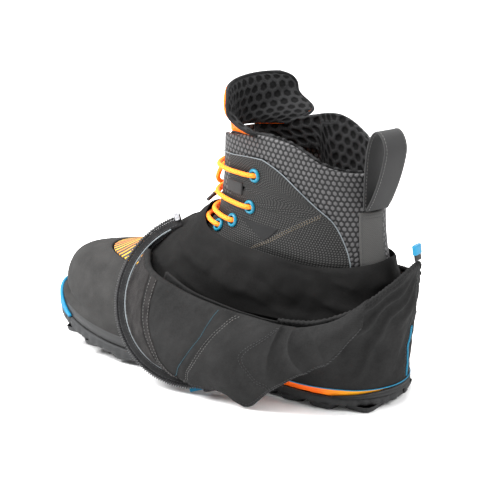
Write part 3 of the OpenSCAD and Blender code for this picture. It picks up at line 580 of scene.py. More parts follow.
def dotted_film():
    """Pressed film: a lattice of small dimples in a smooth dark skin."""
    s = Shader("dotted_film_grey")
    u, v = s.uv()
    d = hexagons(u, v, 2.15)
    fuzz = s.noise(s.place(), .6, 5, .65)
    dots = s.ramp(d, (.2, 1), (.34, 0))
    colour = s.tint(dots, (.0035, .0035, .0035), (.04, .0395, .0385))
    return s.set(Base_Color=s.tint(s.ramp(fuzz, (.5, 0), (.8, .3)), colour, (.026, .0255, .025)),
                 Roughness=.5 + fuzz * .2, Normal=s.bump(dots + fuzz * .3, .6, .3),
                 Specular_IOR_Level=.2)

FILM = dotted_film()

def ribbed_stay():
    s = Shader("stay_film_grey")
    u, v = s.uv()
    rib = (u * 3.2 + v * 1.1).sin()
    fuzz = s.noise(s.place(), .8, 5, .65)
    return s.set(Base_Color=s.tint(rib * .3 + fuzz * .6, (.03, .03, .03), (.085, .083, .08)),
                 Roughness=.6, Normal=s.bump(rib + fuzz, .5, .3))

STAY = ribbed_stay()

def honeycomb(name="honeycomb_black", pitch=8.4):
    """Spacer knit over foam: each cell is sunk, with a fine net in it, and the walls between are proud."""
    s = Shader(name)
    u, v = s.uv()
    d = hexagons(u, v, pitch)
    net = hexagons(u, v, 1.35)
    p = s.place()
    fuzz = s.noise(p, 1.0, 5, .7)
    wall = s.ramp(d, (.29, 0), (.38, 1))
    holes = s.ramp(net, (.2, 0), (.42, 1))
    cell = s.tint(holes, (.0015, .0015, .0015), (.004, .004, .0042))
    rib = s.tint(holes * .5 + fuzz * .5, (.004, .004, .0043), (.032, .032, .033))
    return s.set(Base_Color=s.tint(wall, cell, rib), Roughness=.88,
                 Normal=s.bump(wall * .5 + holes * .25 + fuzz * .15, .7, .7), Specular_IOR_Level=.15)

HONEYCOMB = honeycomb()

# %% [markdown]
# ### Stripes, rubber, plastic and cord
# The instep panel is a grey cloth with slanted yellow and orange stripes woven in. Rubber is nearly black
# with a dull bloom. The lace is a round braid, whose strands cross in a diamond pattern.

# %% Striped cloth
def striped():
    s = Shader("stripe_fabric_orange")
    u, v = s.uv()
    a = u * .82 + v * .57
    saw = (a * (1 / 4.4)) % 1
    hue = ((a * (1 / 17.6)) % 1)
    weave = (u * 7).sin() * (v * 7).sin()
    gold = s.tint(s.ramp(hue, (.2, 0), (.8, 1)), (.85, .25, .006), (.8, .45, .01))
    ground = s.tint(s.noise(s.place(), .7, 5), (.022, .021, .0205), (.05, .047, .046))
    colour = s.tint(s.ramp(abs(saw - .5) * 2, (.24, 1), (.36, 0)), ground, gold)
    return s.set(Base_Color=colour, Roughness=.75, Normal=s.bump(weave, .5, .2), Sheen_Weight=.02)

STRIPES = striped()

# %% Rubber, plastics and metal
def rubber(name, base, light, rough=.62, scale=1.0):
    """Moulded rubber: fine pebbled face, dusty bloom in patches."""
    s = Shader(name)
    p = s.place()
    fine = s.noise(p, 1.3 * scale, 6, .7)
    bloom = s.noise(p, .06, 4)
    tone = s.ramp(bloom * .6 + fine * .4, (.38, 0), (.66, 1))
    return s.set(Base_Color=s.tint(tone, base, light), Roughness=rough + bloom * .2,
                 Normal=s.bump(fine, .35, .2), Specular_IOR_Level=.4)

RUBBER = rubber("rubber_black", (.008, .0081, .0085), (.02, .0203, .021))
RUBBER_GREY = rubber("rubber_grey", (.011, .0115, .012), (.026, .0267, .028))
def foam():
    """Painted foam: grey under the toes, orange at the arch, yellow over the heel."""
    s = Shader("midsole_orange")
    p = s.place()
    fine = s.noise(p, 1.1, 5, .6)
    along = s.node("ShaderNodeSeparateXYZ", [p])[0]
    hue = s.ramp(along * .02 + .45, (.4, 0), (.95, 1))
    orange = s.tint(hue, (1.0, .13, .001), (1.0, .4, .002))
    front = s.ramp(along * .02 + 2.0, (.4, 0), (.44, 1))
    return s.set(Base_Color=s.tint(front, (.022, .0225, .023), orange), Roughness=.45 + fine * .15,
                 Normal=s.bump(fine, .25, .2), Specular_IOR_Level=.3)

MIDSOLE = foam()
WELT_BLUE = rubber("welt_blue", (.0, .13, .26), (.004, .19, .34), .38, .8)
SMOOTH_BLACK = rubber("smooth_black", (.002, .002, .0022), (.005, .005, .0055), .75)
PALE_EDGE = rubber("edge_bead_grey", (.09, .105, .115), (.15, .17, .18), .5)
EYELET_BLUE = rubber("eyelet_blue", (.0, .12, .2), (.003, .17, .26), .3)
COIL = rubber("zip_coil_black", (.012, .012, .013), (.03, .03, .032), .38)
AGLET = rubber("aglet_black", (.01, .01, .01), (.02, .02, .02), .3)

def painted(name, base, metallic, rough):
    s = Shader(name)
    p = s.place()
    worn = s.ramp(s.noise(p, .8, 5), (.55, 0), (.75, 1))
    return s.set(Base_Color=s.tint(worn, base, tuple(min(1, 2.2 * c) for c in base)), Metallic=metallic,
                 Roughness=rough + worn * .2, Normal=s.bump(worn, .15, .1), Coat_Weight=.2)

SLIDER = painted("slider_black", (.02, .02, .022), .6, .35)
STEEL = painted("zip_metal", (.25, .25, .26), 1.0, .35)

# %% Cord, thread and piping
def braid(name, base, dark, strands=5.0, pitch=3.4, r=1.8):
    """Two families of strands run round the cord in opposite ways. u is round the cord, v along it."""
    s = Shader(name)
    u, v = s.uv()
    turn = u * (1 / (2 * math.pi * r))
    a = abs(((turn * strands + v * (1 / pitch)) % 1) * 2 - 1)
    b = abs(((turn * strands - v * (1 / pitch)) % 1) * 2 - 1)
    strand = a.most(b)
    fuzz = s.noise(s.place(), 2.0, 5, .7)
    tone = s.ramp(strand * .7 + fuzz * .3, (.35, 0), (.75, 1))
    return s.set(Base_Color=s.tint(tone, dark, base), Roughness=.7 + fuzz * .1,
                 Normal=s.bump(strand, .7, .3), Sheen_Weight=.02)

LACE = braid("lace_orange", (1.0, .27, .001), (.85, .13, .0005))
PIPING = braid("piping_blue", (.003, .2, .34), (.0, .1, .19), 3.0, 1.6, .8)

def thread(name, colour):
    s = Shader(name)
    p = s.place()
    fuzz = s.noise(p, 3.0, 4, .7)
    return s.set(Base_Color=s.tint(fuzz, tuple(.7 * c for c in colour), tuple(1.2 * c for c in colour)),
                 Roughness=.7, Normal=s.bump(fuzz, .5, .1))

THREAD_BLACK = thread("thread_black", (.02, .02, .021))
THREAD_GREY = thread("thread_grey", (.1, .097, .094))
THREAD_GOLD = thread("thread_gold", (.16, .12, .07))
THREAD_BLUE = thread("thread_blue", (.004, .06, .09))
print(len(bpy.data.materials), "materials")

# %% [markdown]
# ## The sole
# A boot for crampons has a stiff sole: black lugged rubber, an orange foam midsole with a carbon plate over
# it, and two hard ledges that a crampon's bail and heel lever clip on, one at the toe and one at the heel.
# The rubber is one plate that follows the outline. Its side wall has small notches, and its lugs are blocks
# with drafted sides and a worn edge.

# %% Outsole
def across(t, inset, z, n):
    """Rows at the angles t, each from the outer to the inner edge, n + 1 points crowding to the edges."""
    a, b = sole_edge_in(t, inset), sole_edge_in(360 - t, inset)
    f = spaced(n, 1.8)[None, :, None]
    p = mix(b[:, None], a[:, None], f)
    return np.concatenate([p, np.broadcast_to(z[:, None, None], (*p.shape[:2], 1))], -1)

def plate(name, t0, t1, rows, n, inset, bottom, top, material, r=1.2, notch=0.0, pitch=8.0):
    """A plate in the sole's outline: its side wall is a half round of radius r, cut by notches."""
    t = np.linspace(t0, t1, rows)
    u = share(t)
    arc = np.concatenate([[0], np.cumsum(np.linalg.norm(np.diff(sole_edge(t), axis=0), axis=1))])
    cut = notch * smooth(np.cos(2 * np.pi * arc / pitch), .55, .8)
    zb, zt = bottom(u), top(u)
    grids = []
    for z, d in ((zb, r * 1.6), (zb + r * .3, r * .5), (zb + r, 0), (zt - r, 0), (zt - r * .3, r * .5),
                 (zt, r * 1.6)):
        inner = d + inset + (cut if 0 <= d < r * 1.5 else 0 * cut)
        grids.append(across(t, inner, z, n))
    lo, hi = grids[0], grids[-1]
    side = [np.concatenate([g[:, :1], g[:, -1:]], 1) for g in grids]
    m = len(t)
    v, f = [lo.reshape(-1, 3), hi.reshape(-1, 3)], [grid_faces(m, n + 1, 0, flip=True),
                                                    grid_faces(m, n + 1, m * (n + 1))]
    base = 2 * m * (n + 1)
    ids = [np.stack([np.arange(m) * (n + 1), np.arange(m) * (n + 1) + n])]
    for k, g in enumerate(side[1:-1]):
        v.append(g.reshape(-1, 3))
        ids.append(np.stack([base + 2 * np.arange(m), base + 2 * np.arange(m) + 1]))
        base += 2 * m
    ids.append(ids[0] + m * (n + 1))
    for a, b in zip(ids[:-1], ids[1:]):
        f.append(np.stack([a[0, :-1], b[0, :-1], b[0, 1:], a[0, 1:]], -1))
        f.append(np.stack([a[1, :-1], a[1, 1:], b[1, 1:], b[1, :-1]], -1))
    # both ends: one row of quads between the lower and the upper sheet
    j = np.arange(n)
    e = (m - 1) * (n + 1)
    k = m * (n + 1)
    f.append(np.stack([j, j + 1, k + j + 1, k + j], -1))
    f.append(np.stack([e + j + 1, e + j, k + e + j, k + e + j + 1], -1))
    verts = np.concatenate(v)
    return add_mesh(name, verts, np.concatenate(f), verts[:, :2], material)

flat = lambda z: (lambda u: np.full(np.shape(u), float(z)))
heel_sole = plate("heel_rubber", 4, 78, 70, 16, 0, flat(LUG), flat(RUBBER_TOP), RUBBER, 1.0, .9, 8.5)
fore_sole = plate("forefoot_rubber", 78, 176, 90, 16, 0, lambda u: LUG - 1.2 + spring(u),
                  lambda u: RUBBER_TOP + .1 + spring(u), RUBBER_GREY, 1.0, .9, 8.5)
midsole = plate("midsole_foam", 6, 174, 110, 14, 1.9, lambda u: RUBBER_TOP + spring(u) + .2,
                lambda u: SOLE_TOP + sole_rise(u) - .4, MIDSOLE, 1.4)

# %% Lugs
def lug_block(x0, x1, y0, y1, lift):
    """A block from the ground to the plate. Its plan is a rounded rectangle, x^4 + y^4 = 1, and it narrows
    towards the ground over four rings."""
    a = np.linspace(0, 2 * np.pi, 25)[:-1]
    c, s = np.cos(a), np.sin(a)
    k = (np.abs(c) ** 5 + np.abs(s) ** 5) ** (-1 / 5)
    rings = [(LUG + .4, .3), (LUG - 1.5, 0), (.9, -.5), (.25, -.85), (0, -1.6)]
    out = []
    for z, g in rings:
        hx, hy = abs(x1 - x0) / 2 + g, abs(y1 - y0) / 2 + g
        out.append(np.stack([(x0 + x1) / 2 + hx * k * c, (y0 + y1) / 2 + hy * k * s,
                             np.full(24, z + lift)], -1))
    mid = np.array([[[(x0 + x1) / 2, (y0 + y1) / 2, lift]]])
    out.append(mix(out[-1], mid[0], .98))
    return np.array(out[::-1])

def lug_rows(name, rows, material):
    v, f, first = [], [], 0
    for x0, x1, m, ymax in rows:
        t = np.degrees(np.arccos(1 - 2 * (HEEL_X - (x0 + x1) / 2) / SOLE_LENGTH))
        a = float(sole_edge(t)[1]) - 1 if ymax is None else ymax
        b = float(sole_edge(360 - t)[1]) + 1 if ymax is None else -ymax
        lift = float(spring(share(t)))
        w = (a - b - (m - 1) * 7) / m
        for j in range(m):
            g = lug_block(x0, x1, b + j * (w + 7), b + j * (w + 7) + w, lift)
            k = g.shape[0] * 24
            v.append(g.reshape(-1, 3))
            f.append(grid_faces(g.shape[0], 24, first, wrap=True))
            first += k
    v = np.concatenate(v)
    return add_mesh(name, v, np.concatenate(f), v[:, :2], material)

heel_lugs = lug_rows("heel_lugs", [(38, 15, 2, None), (12, -11, 2, None), (-14, -36, 2, None),
                                   (-39, -58, 2, None)], RUBBER)
fore_lugs = lug_rows("forefoot_lugs", [(x + 1.5, x - 17, 3 if x < -180 else 4, None)
                                       for x in (-96, -119, -142, -165, -196, -219)], RUBBER_GREY)
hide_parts("outsole_heel")
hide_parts("outsole_forefoot")
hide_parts("midsole")
print("lugs:", len(heel_lugs.data.vertices) // 144 + len(fore_lugs.data.vertices) // 144)

# %% [markdown]
# ### The two crampon ledges
# The toe ledge is hard blue plastic, a crescent that is highest at the tip of the toe. A groove runs along
# its middle, where the bail sits. The heel ledge is black and lower.

# %% Ledges
def ledge(name, ta, tb, rows, foot, height, material, groove, lip):
    """A rim on the sole's edge. Its profile runs from the inside foot, out over the wall and its groove, to
    a rounded lip and back in. All heights scale with the rim's height at that angle."""
    t = np.linspace(ta, tb, rows)
    h = height(t)
    # inset and share of the height, from the foot's outer corner up and back to its inner corner
    prof = [(.2, 0), (-.9, .04), (-1, .16), (groove - .9, .3), (groove - .7, .52), (-.6 - lip * .4, .68),
            (-.9 - lip * .1, .82), (-.6, .94), (.3, 1), (1.4, .97), (1.8, .8), (1.8, .1)]
    g = []
    for d, k in prof:
        e = sole_edge_in(t, np.clip(d, -1, 1.8))
        g.append(np.concatenate([e, (foot(t) + k * h)[:, None]], -1))
    g = np.stack(g, 1)                                        # rows along the rim, columns round the profile
    n = g.shape[1]
    faces = grid_faces(rows, n, wrap=True).tolist()
    faces += [list(range(n))[::-1], list(range((rows - 1) * n, rows * n))]
    return add_mesh(name, g.reshape(-1, 3), faces, None, material)

toe_ledge = ledge("toe_ledge", 144, 216, 90, lambda t: RUBBER_TOP + spring(share(t)) + .3,
                  lambda t: .3 + 11.7 * np.maximum(np.cos(np.radians((t - 180) * 90 / 39)), 0) ** 1.2,
                  WELT_BLUE, 1.2, 1.0)
heel_ledge = ledge("heel_ledge", -40, 40, 60, lambda t: np.full(len(t), RUBBER_TOP + .3),
                   lambda t: .3 + 4.7 * np.cos(np.radians(t * 90 / 42)) ** .8, RUBBER, .8, .4)
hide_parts("toe_crampon_rim")
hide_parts("heel_crampon_rim")

# %% [markdown]
# ## The toe cover
# The front of the gaiter is one piece with the shoe: a microfibre cap that is stretched over the toe and
# glued to the sole's edge. It is smooth over the toe box and has a sewn edge where the striped panel begins.

# %% Cap over the toe
def fold_noise(p, scale, seed=0, octaves=3):
    """Smooth noise from sums of turned sine waves: slow swells that look like slack cloth. p is (..., 3)."""
    rng = np.random.default_rng(seed)
    out = np.zeros(p.shape[:-1])
    for k in range(octaves):
        for _ in range(5):
            w = unit(rng.normal(size=3)) / scale * 1.9 ** k * rng.uniform(.7, 1.3)
            out += np.sin(p @ w * 2 * np.pi + rng.uniform(0, 6.28)) / 1.9 ** k
    return out / 4

def toe_grid(d, f):
    """Rows f from 0 at the rubber to 1 at the panel. The first tenth stands on the sole's edge, and the rest
    lies on the last. A smooth curve joins the two."""
    t = np.linspace(114, 246, 100)
    u = share(t)
    e = sole_edge_in(t, 4.1 - d)
    rows = [np.concatenate([e, (RUBBER_TOP + spring(u) + .5)[:, None]], -1),
            np.concatenate([e, (SOLE_TOP + sole_rise(u) + .4)[:, None]], -1)]
    for k in range(8):
        rows.append(on_last(t, np.full(100, mix(.45, 2.7, k / 7)), np.full(100, 2.5 + d)))
    return spline(rows, f)

outer = toe_grid(2, 6)
crease = fold_noise(outer, 42, 3, 2) * .35
outer[8:] -= np.abs(crease[8:, :, None]) * unit(outer - toe_grid(0, 6))[8:]
toe_cap = sheet_piece("toe_cap", outer, toe_grid(0, 6), TOE_FABRIC)
dress("toe_cover")

# %% Striped panel over the instep
stripe = panel("striped_panel", 132, 228, 60, 2.73, 4.42, 50, 2.5, 3.9, STRIPES, 1.0)
dress("stripe_panel")
print("toe cap:", len(toe_cap.data.polygons), "faces")

# %% [markdown]
# ## The gaiter
# A gaiter that is zipped up covers the whole boot. Here its zip is open and it has been pushed down: its wall
# stands round the heel with slack folds, and its front has been turned over the rim and hangs to the ground
# on the outer side. Each of the two is one sheet of softshell. Its large form comes from a few rows of
# points, and its folds are small moves along the surface's own normal.

# %% Wall
WALL_RIM = [[-112, -130, -55, 88], [-100, -100, -62, 78], [-85, -62, -67, 73], [-70, -28, -69, 71],
            [-55, 4, -64, 72], [-40, 32, -52, 82], [-20, 49, -26, 97], [0, 57, 0, 108], [16, 49, 16, 96],
            [35, 36, 40, 86], [55, 8, 57, 82], [75, -30, 62, 82], [95, -70, 61, 86], [112, -108, 56, 94]]
WALL_SHAPE = [[0, 0], [.2, .12], [.4, .34], [.6, .6], [.8, .82], [1, 1]]

def wall_hem(t):
    u = share(t)
    p = sole_edge_in(t, .2 - 5.5 * np.clip(1 - ((u - .42) / .32) ** 2, 0, 1))
    return np.concatenate([p, (RUBBER_TOP + 6 + spring(u) + .99 * curve(ARCH, u))[..., None]], -1)

def wall_rim(t):
    return np.stack([curve(WALL_RIM, t, k) for k in (1, 2, 3)], -1)

def wall(t, f, d=0):
    """From the hem, f = 0, to the rim, f = 1. Height goes evenly, and the plan leaves the sole's edge
    slowly at first. d is measured inwards, away from the boot's long axis."""
    a, b = wall_hem(t), wall_rim(t)
    g = mix(f, curve(WALL_SHAPE, f), .6)
    p = np.concatenate([mix(a[..., :2], b[..., :2], g[..., None]),
                        mix(a[..., 2], b[..., 2], f)[..., None]], -1)
    o = unit(np.stack([p[..., 0] + 60 * np.clip(f + .4, 0, 1), p[..., 1]], -1))
    p[..., :2] -= o * np.asarray(d)[..., None]
    return p

def wall_normal(t, f):
    return unit(np.cross(wall(t + .5, f) - wall(t - .5, f),
                         wall(t, np.minimum(f + .01, 1)) - wall(t, np.maximum(f - .01, 0))))

def wave(x):
    """A fold's cross section: round crest, narrow valley. x counts folds."""
    return (.5 + .5 * np.cos(2 * np.pi * x)) ** 1.6

def wall_folds(t, f):
    """Slack folds that fan out from the rear tip, steeper near it, and die out towards the glued hem."""
    p = wall(t, f)
    side = np.where(t < 0, 1.0, .8)
    ang = np.degrees(np.arctan2(112 - p[..., 2], np.hypot(p[..., 0] - 58, p[..., 1]) + 8))
    warp = fold_noise(p, 60, 11) * .55
    away = np.hypot(np.hypot(p[..., 0] - 58, p[..., 1]), p[..., 2] - 110)
    fan = wave(ang / 13.5 + warp) * smooth(away, 6, 34) * (1 - smooth(away, 70, 125))
    slack = wave((p[..., 0] * .35 + p[..., 2] * .9 + 10 * fold_noise(p, 45, 5)) / 19) * smooth(away, 60, 110)
    swell = fold_noise(p, 38, 7, 2)
    keep = smooth(f, .02, .2) * (1 - .6 * smooth(f, .9, 1))
    return side * keep * (2.0 * fan + .7 * slack + .8 * swell) - .8 * keep

t_cols = np.linspace(-110, 110, 300)
f_rows = np.concatenate([[0, .004, .012], np.linspace(.025, .985, 90), [.994, 1]])
T, F = np.meshgrid(t_cols, f_rows)
turned = np.minimum(smooth(F, -.01, .012), 1 - smooth(F, .985, 1.012))
move = wall_folds(T, F) + .25 * fold_noise(wall(T, F), 9, 21, 2)
N = wall_normal(T, F)
wall_out = wall(T, F) + (move - .8 * (1 - turned))[..., None] * N
wall_in = wall(T, F, 2.0) + (move * .8 + .5 * (1 - turned))[..., None] * N
gaiter_wall = sheet_piece("gaiter_wall_cloth", wall_out, wall_in, SOFTSHELL)
dress("gaiter_wall")
print("wall:", len(gaiter_wall.data.polygons), "faces, deepest fold",
      round(float(np.ptp(move)), 1), "mm")

# %% Gathered elastic in the rim
def wall_at(t, f, lift=0.0):
    """Points on the finished wall: its form, its folds, and a lift from the cloth."""
    t, f = np.broadcast_arrays(np.asarray(t, float), np.asarray(f, float))
    m = wall_folds(t, f) + .25 * fold_noise(wall(t, f), 9, 21, 2)
    return wall(t, f) + (m + lift)[..., None] * wall_normal(t, f)

t = np.linspace(-66, 106, 620)
rim = wall_at(t, np.full(620, .995))
rim[:, 2] += 1.0
o = unit(np.stack([rim[:, 0] + 60, rim[:, 1]], -1))
rim[:, :2] -= o * 1.0
gather = 1 + .16 * np.cos(np.cumsum(np.ones(620)) * .95) + .1 * fold_noise(rim, 12, 3)
rim_tube = swept_piece("rim_elastic_casing", rim, round_profile(1.75, 10), SOFTSHELL,
                       up=np.array([0, 0, 1.0]),
                       scale=gather)
dress("rim_elastic")

# %% Hem piping and back seam
t = np.linspace(-74, 74, 260)
hem = wall_hem(t)
o = unit(np.stack([hem[:, 0] + 60, hem[:, 1]], -1))
hem[:, :2] += .85 * o
hem[:, 2] += .6
hem_cord = swept_piece("hem_piping_cord", hem, round_profile(.42, 8), PIPING, up=np.array([0, 0, 1.0]))
dress("hem_piping")
f = np.linspace(.03, .47, 90)
seam = wall_at(np.full(90, 4.0), f, .25)
seam_cord = swept_piece("back_seam_cord", seam, round_profile(.85, 8), PIPING, up=np.array([0, 1.0, 0]))
dress("back_seam_piping")
f = np.linspace(.03, .97, 160)
for k, off in enumerate((1.2, 6.8)):
    stitches("back_seam_stitch_%d" % k, wall_at(np.full(160, off), f), wall_normal(np.full(160, off), f),
             THREAD_BLACK, lift=.1)

# %% Sleeve round the ankle
SLEEVE_EDGE = [[0, 2.2, 4.75], [40, 2.2, 4.5], [90, 2.3, 4.35], [130, 3, 4.5], [160, 4.05, 4.95],
               [180, 4.3, 5.05], [200, 4.05, 4.95], [230, 3, 4.68], [270, 2.3, 4.6], [300, 2.2, 4.55],
               [330, 2.2, 4.65], [360, 2.2, 4.75]]

def sleeve(t, f, d):
    v = mix(curve(SLEEVE_EDGE, t, 1), curve(SLEEVE_EDGE, t, 2), f)
    return on_last(t, v, d - 3.2 * np.maximum(np.cos(np.radians(t)), 0) ** 2)

t_cols = np.arange(240) * 1.5
f_rows = np.concatenate([np.linspace(0, .93, 44), 1 - .07 * (1 - np.sin(np.linspace(.12, np.pi / 2, 8)))])
T, F = np.meshgrid(t_cols, f_rows)
lip = np.sqrt(np.clip(1 - smooth(F, .9, 1.0) ** 2, 0, 1))
base = sleeve(T, F, np.full(T.shape, 7.0))
slack = wave((base[..., 2] * .8 + base[..., 0] * .25 + 7 * fold_noise(base, 40, 2)) / 17)
slack = (1.1 * slack + .8 * fold_noise(base, 30, 8, 2) - .5) * smooth(F, .0, .3) * (1 - .7 * smooth(F, .9, 1))
sleeve_out = sleeve(T, F, 7.1 + .9 * lip + slack)
sleeve_in = sleeve(T, F, 6.9 - .9 * lip + .5 * slack)
# The sleeve's cloth is the darker softshell copy, whose extra darkness is painted shade for its recess.
sleeve_cloth = sheet_piece("sleeve_cloth", sleeve_out, sleeve_in, SHADED_SLEEVE_SOFTSHELL, wrap=True)
dress("gaiter_sleeve")
print("sleeve:", len(sleeve_cloth.data.polygons), "faces")

# %% [markdown]
# ### The turned-down flap
# The flap hangs from the rim to the ground. Nine columns of five points give its form, and a cubic patch
# runs through them. One sharp fold stands where it turns round the ankle, and softer ones lie beside it.

# %% Flap
ZIP_N = unit(np.array([.197, -.862, .467]))
ZIP_C, ZIP_R = np.array([-104.4, -42.4, 64.5]), 66.0
ZIP_E1 = unit(np.cross(np.cross(ZIP_N, [-.3, .33, 1]), ZIP_N))
ZIP_E2 = np.cross(ZIP_N, ZIP_E1)

def on_zip(a, r, h=0.0):
    """Point at angle a in degrees and radius r in the zip's plane, h along its axis."""
    a, r, h = np.broadcast_arrays(np.radians(a), np.asarray(r, float), np.asarray(h, float))
    return ZIP_C + r[..., None] * (np.cos(a)[..., None] * ZIP_E1 + np.sin(a)[..., None] * ZIP_E2) \
        + h[..., None] * ZIP_N

FLAP = np.array([
    on_zip([44, 76, 108, 138, 164], 56.3).tolist(),
    [[-134, -64, 88], [-137, -70, 67], [-133, -76, 47], [-122, -78.5, 28], [-105, -75.5, 14.5]],
    [[-104, -69, 78], [-106, -79, 62], [-105, -83, 44], [-98, -83, 26], [-86, -76, 10]],
    [[-66, -74, 73], [-68, -83, 58], [-69, -86, 42], [-67, -84, 25], [-62, -76, 10]],
    [[-24, -75, 70], [-30, -83, 57], [-35, -86, 40], [-40, -80, 20], [-43, -71, 2.5]],
    [[-8, -74, 69.5], [-12, -80, 58], [-16, -82, 46], [-20, -80, 33], [-22, -76, 19]],
    [[6, -71, 71], [3, -76, 62], [1, -77, 53], [-1, -76, 44], [-3, -74, 34]],
    [[26, -62, 78], [26, -66, 72], [25, -67, 65], [24, -67, 58], [22, -66, 50]],
    [[42, -50, 92], [42, -53, 88], [42, -54, 84], [41, -54, 80], [40, -53, 75]]])

def cubic(x, n):
    """Catmull-Rom: the four neighbours of x on n points, and their weights."""
    i = np.clip(np.floor(x).astype(int), 0, n - 2)
    f = x - i
    idx = np.stack([np.maximum(i - 1, 0), i, i + 1, np.minimum(i + 2, n - 1)])
    w = np.stack([(-f + 2*f**2 - f**3) / 2, (2 - 5*f**2 + 3*f**3) / 2,
                  (f + 4*f**2 - 3*f**3) / 2, (-f**2 + f**3) / 2])
    return idx, w

def flap_form(a, b):
    """a from the zip, 0, to the back, 1. b from the rim, 0, to the hem, 1."""
    ia, wa = cubic(a * 8, 9)
    ib, wb = cubic(b * 4, 5)
    return sum(wa[k, ..., None] * wb[m, ..., None] * FLAP[ia[k], ib[m]] for k in range(4) for m in range(4))

def flap_normal(a, b):
    e = .01
    return unit(np.cross(flap_form(a, np.minimum(b + e, 1)) - flap_form(a, np.maximum(b - e, 0)),
                         flap_form(np.minimum(a + e, 1), b) - flap_form(np.maximum(a - e, 0), b)))

def ridge(d, w):
    """A pinched fold: sharp on its crest, with soft flanks."""
    return np.exp(-np.abs(d / w) ** 1.3)

def flap_folds(a, b):
    p = flap_form(a, b)
    fade = smooth(a, .03, .2) * (1 - smooth(a, .9, 1))
    sharp = 4.2 * ridge((a - .664 - .135 * b) * 250, 5.5) * smooth(b, -.1, .25) * (1 - .4 * smooth(b, .7, 1))
    side = 2.6 * ridge((a - .575 - .05 * b) * 250, 7) * (1 - smooth(b, .35, .9))
    rear = 2.2 * ridge((a - .8 - .06 * b) * 250, 5) * smooth(b, .1, .5)
    drape = wave((p[..., 0] * .8 + p[..., 2] * .5 + 14 * fold_noise(p, 80, 31)) / 44) * smooth(a, .3, .5)
    swell = 1.0 * fold_noise(p, 60, 41, 2)
    seam = -1.1 * ridge((a - .415 + .1 * b + .11 * b ** 3) * 250, 2.2) - .8 * ridge((a - .362 + .02 * b
                                                                    + .2 * b ** 3) * 250, 1.6)
    return fade * (sharp + side + rear + drape + swell - .6) + fade * seam * .8

def flap_at(a, b, lift=0.0):
    a, b = np.broadcast_arrays(np.asarray(a, float), np.asarray(b, float))
    m = flap_folds(a, b) + 2.0 + .22 * fold_noise(flap_form(a, b), 8, 51, 2)
    return flap_form(a, b) + (m + lift)[..., None] * flap_normal(a, b)

a_cols = np.concatenate([[0, .002], np.linspace(.006, .994, 300), [.998, 1]])
b_rows = np.concatenate([[1, .996], np.linspace(.985, 0, 96)])
A, B = np.meshgrid(a_cols, b_rows)
turned = np.minimum.reduce([smooth(A, -.002, .006), 1 - smooth(A, .994, 1.002), 1 - smooth(B, .985, 1.004)])
N = flap_normal(A, B)
flap_out = flap_at(A, B, -.8 * (1 - turned))
flap_in = flap_form(A, B) + (flap_folds(A, B) * .8 + .5 * (1 - turned))[..., None] * N
# the roll over the rim: the cloth goes on from its upper edge in part of a small circle
th = np.radians(np.array([30, 60, 90, 120, 150]))[:, None, None]
up = unit(flap_out[-1] - flap_out[-3])
roll_out = flap_out[-1] + 2.4 * np.sin(th) * up - 2.4 * (1 - np.cos(th)) * N[-1]
roll_in = flap_in[-1] + .5 * np.sin(th) * up - (.5 * (1 - np.cos(th)) - .2) * N[-1]
flap_cloth = sheet_piece("gaiter_flap_cloth", np.concatenate([flap_out, roll_out]),
                         np.concatenate([flap_in, roll_in]), SOFTSHELL)
dress("gaiter_flap")
print("flap:", len(flap_cloth.data.polygons), "faces")

# %% Facing and seam tape on the flap
def flap_strip(name, a0, a1, na, nb, b0, b1, lift, thick, material):
    A, B = np.meshgrid(np.linspace(a0, a1, na), np.linspace(b1, b0, nb))
    edge = np.minimum(np.minimum(A - a0, a1 - A) * 250, np.minimum(B - b0, b1 - B) * 80)
    h = lift + thick * np.sqrt(np.clip(1 - (1 - np.clip(edge / .8, 0, 1)) ** 2, 0, 1))
    return sheet_piece(name, flap_at(A, B, h), flap_at(A, B, lift - .6), material)

facing = flap_strip("zip_facing_cloth", .002, .142, 40, 110, .012, .975, .05, .6, FACING)
tape = flap_strip("seam_tape_cloth", .15, .177, 10, 110, .012, .975, .05, .55, FACING)
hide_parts("zip_facing")
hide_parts("seam_tape")

# %% Seams on the flap
def on_flap(a, b, lift=.12):
    return flap_at(a, b, lift), flap_normal(a, b)

def flap_line(*stops, n=120):
    """A smooth line through a few (a, b) pairs."""
    q = spline(np.array(stops, float), max(n // (len(stops) - 1), 2))
    return np.clip(q[:, 0], 0, 1), np.clip(q[:, 1], 0, 1)

SEAMS = {
    "flap_seam_blue": ((.375, .01), (.362, .2), (.344, .4), (.29, .66), (.215, .86), (.135, .985)),
    "flap_seam_raw_a": ((.422, .01), (.383, .27), (.35, .5), (.312, .69), (.255, .86), (.195, .985)),
    "flap_seam_raw_b": ((.43, .01), (.391, .27), (.358, .5), (.32, .69), (.263, .86), (.203, .985)),
    "flap_arrow_a": ((.56, .02), (.522, .18), (.469, .417), (.52, .62), (.602, .854), (.62, .97)),
    "flap_arrow_b": ((.575, .02), (.535, .18), (.481, .417), (.532, .62), (.614, .854), (.632, .97)),
    "flap_tape_a": ((.153, .02), (.153, .5), (.153, .97)),
    "flap_tape_b": ((.173, .02), (.173, .5), (.173, .97)),
    "flap_zip_row": ((.012, .02), (.012, .5), (.012, .97))}
for name, stops in SEAMS.items():
    a, b = flap_line(*stops)
    lift = .7 if "tape" in name or "zip" in name else .12
    blue = name == "flap_seam_blue"
    stitches(name, *on_flap(a, b, lift), THREAD_BLUE if blue else THREAD_BLACK if "arrow" in name
             else THREAD_GREY, 1.9 if blue else 2.5, 1.7 if blue else 1.5, .2, .05)
# the hem's two rows
for k, inset in enumerate((.93, .965)):
    a = np.linspace(.2, .985, 300)
    stitches("flap_hem_%d" % k, *on_flap(a, np.full(300, inset)), THREAD_BLACK)
print(len(SEAMS) + 2, "seams")

# %% [markdown]
# ## The zip
# A coil zip is a wire that is wound into a flattened spring and sewn to a woven tape. It is modelled as just
# that: one helix of wire, 1.9 mm from turn to turn, on the edge of a tape, with a pale piping at the tape's
# inner edge where the facing begins.

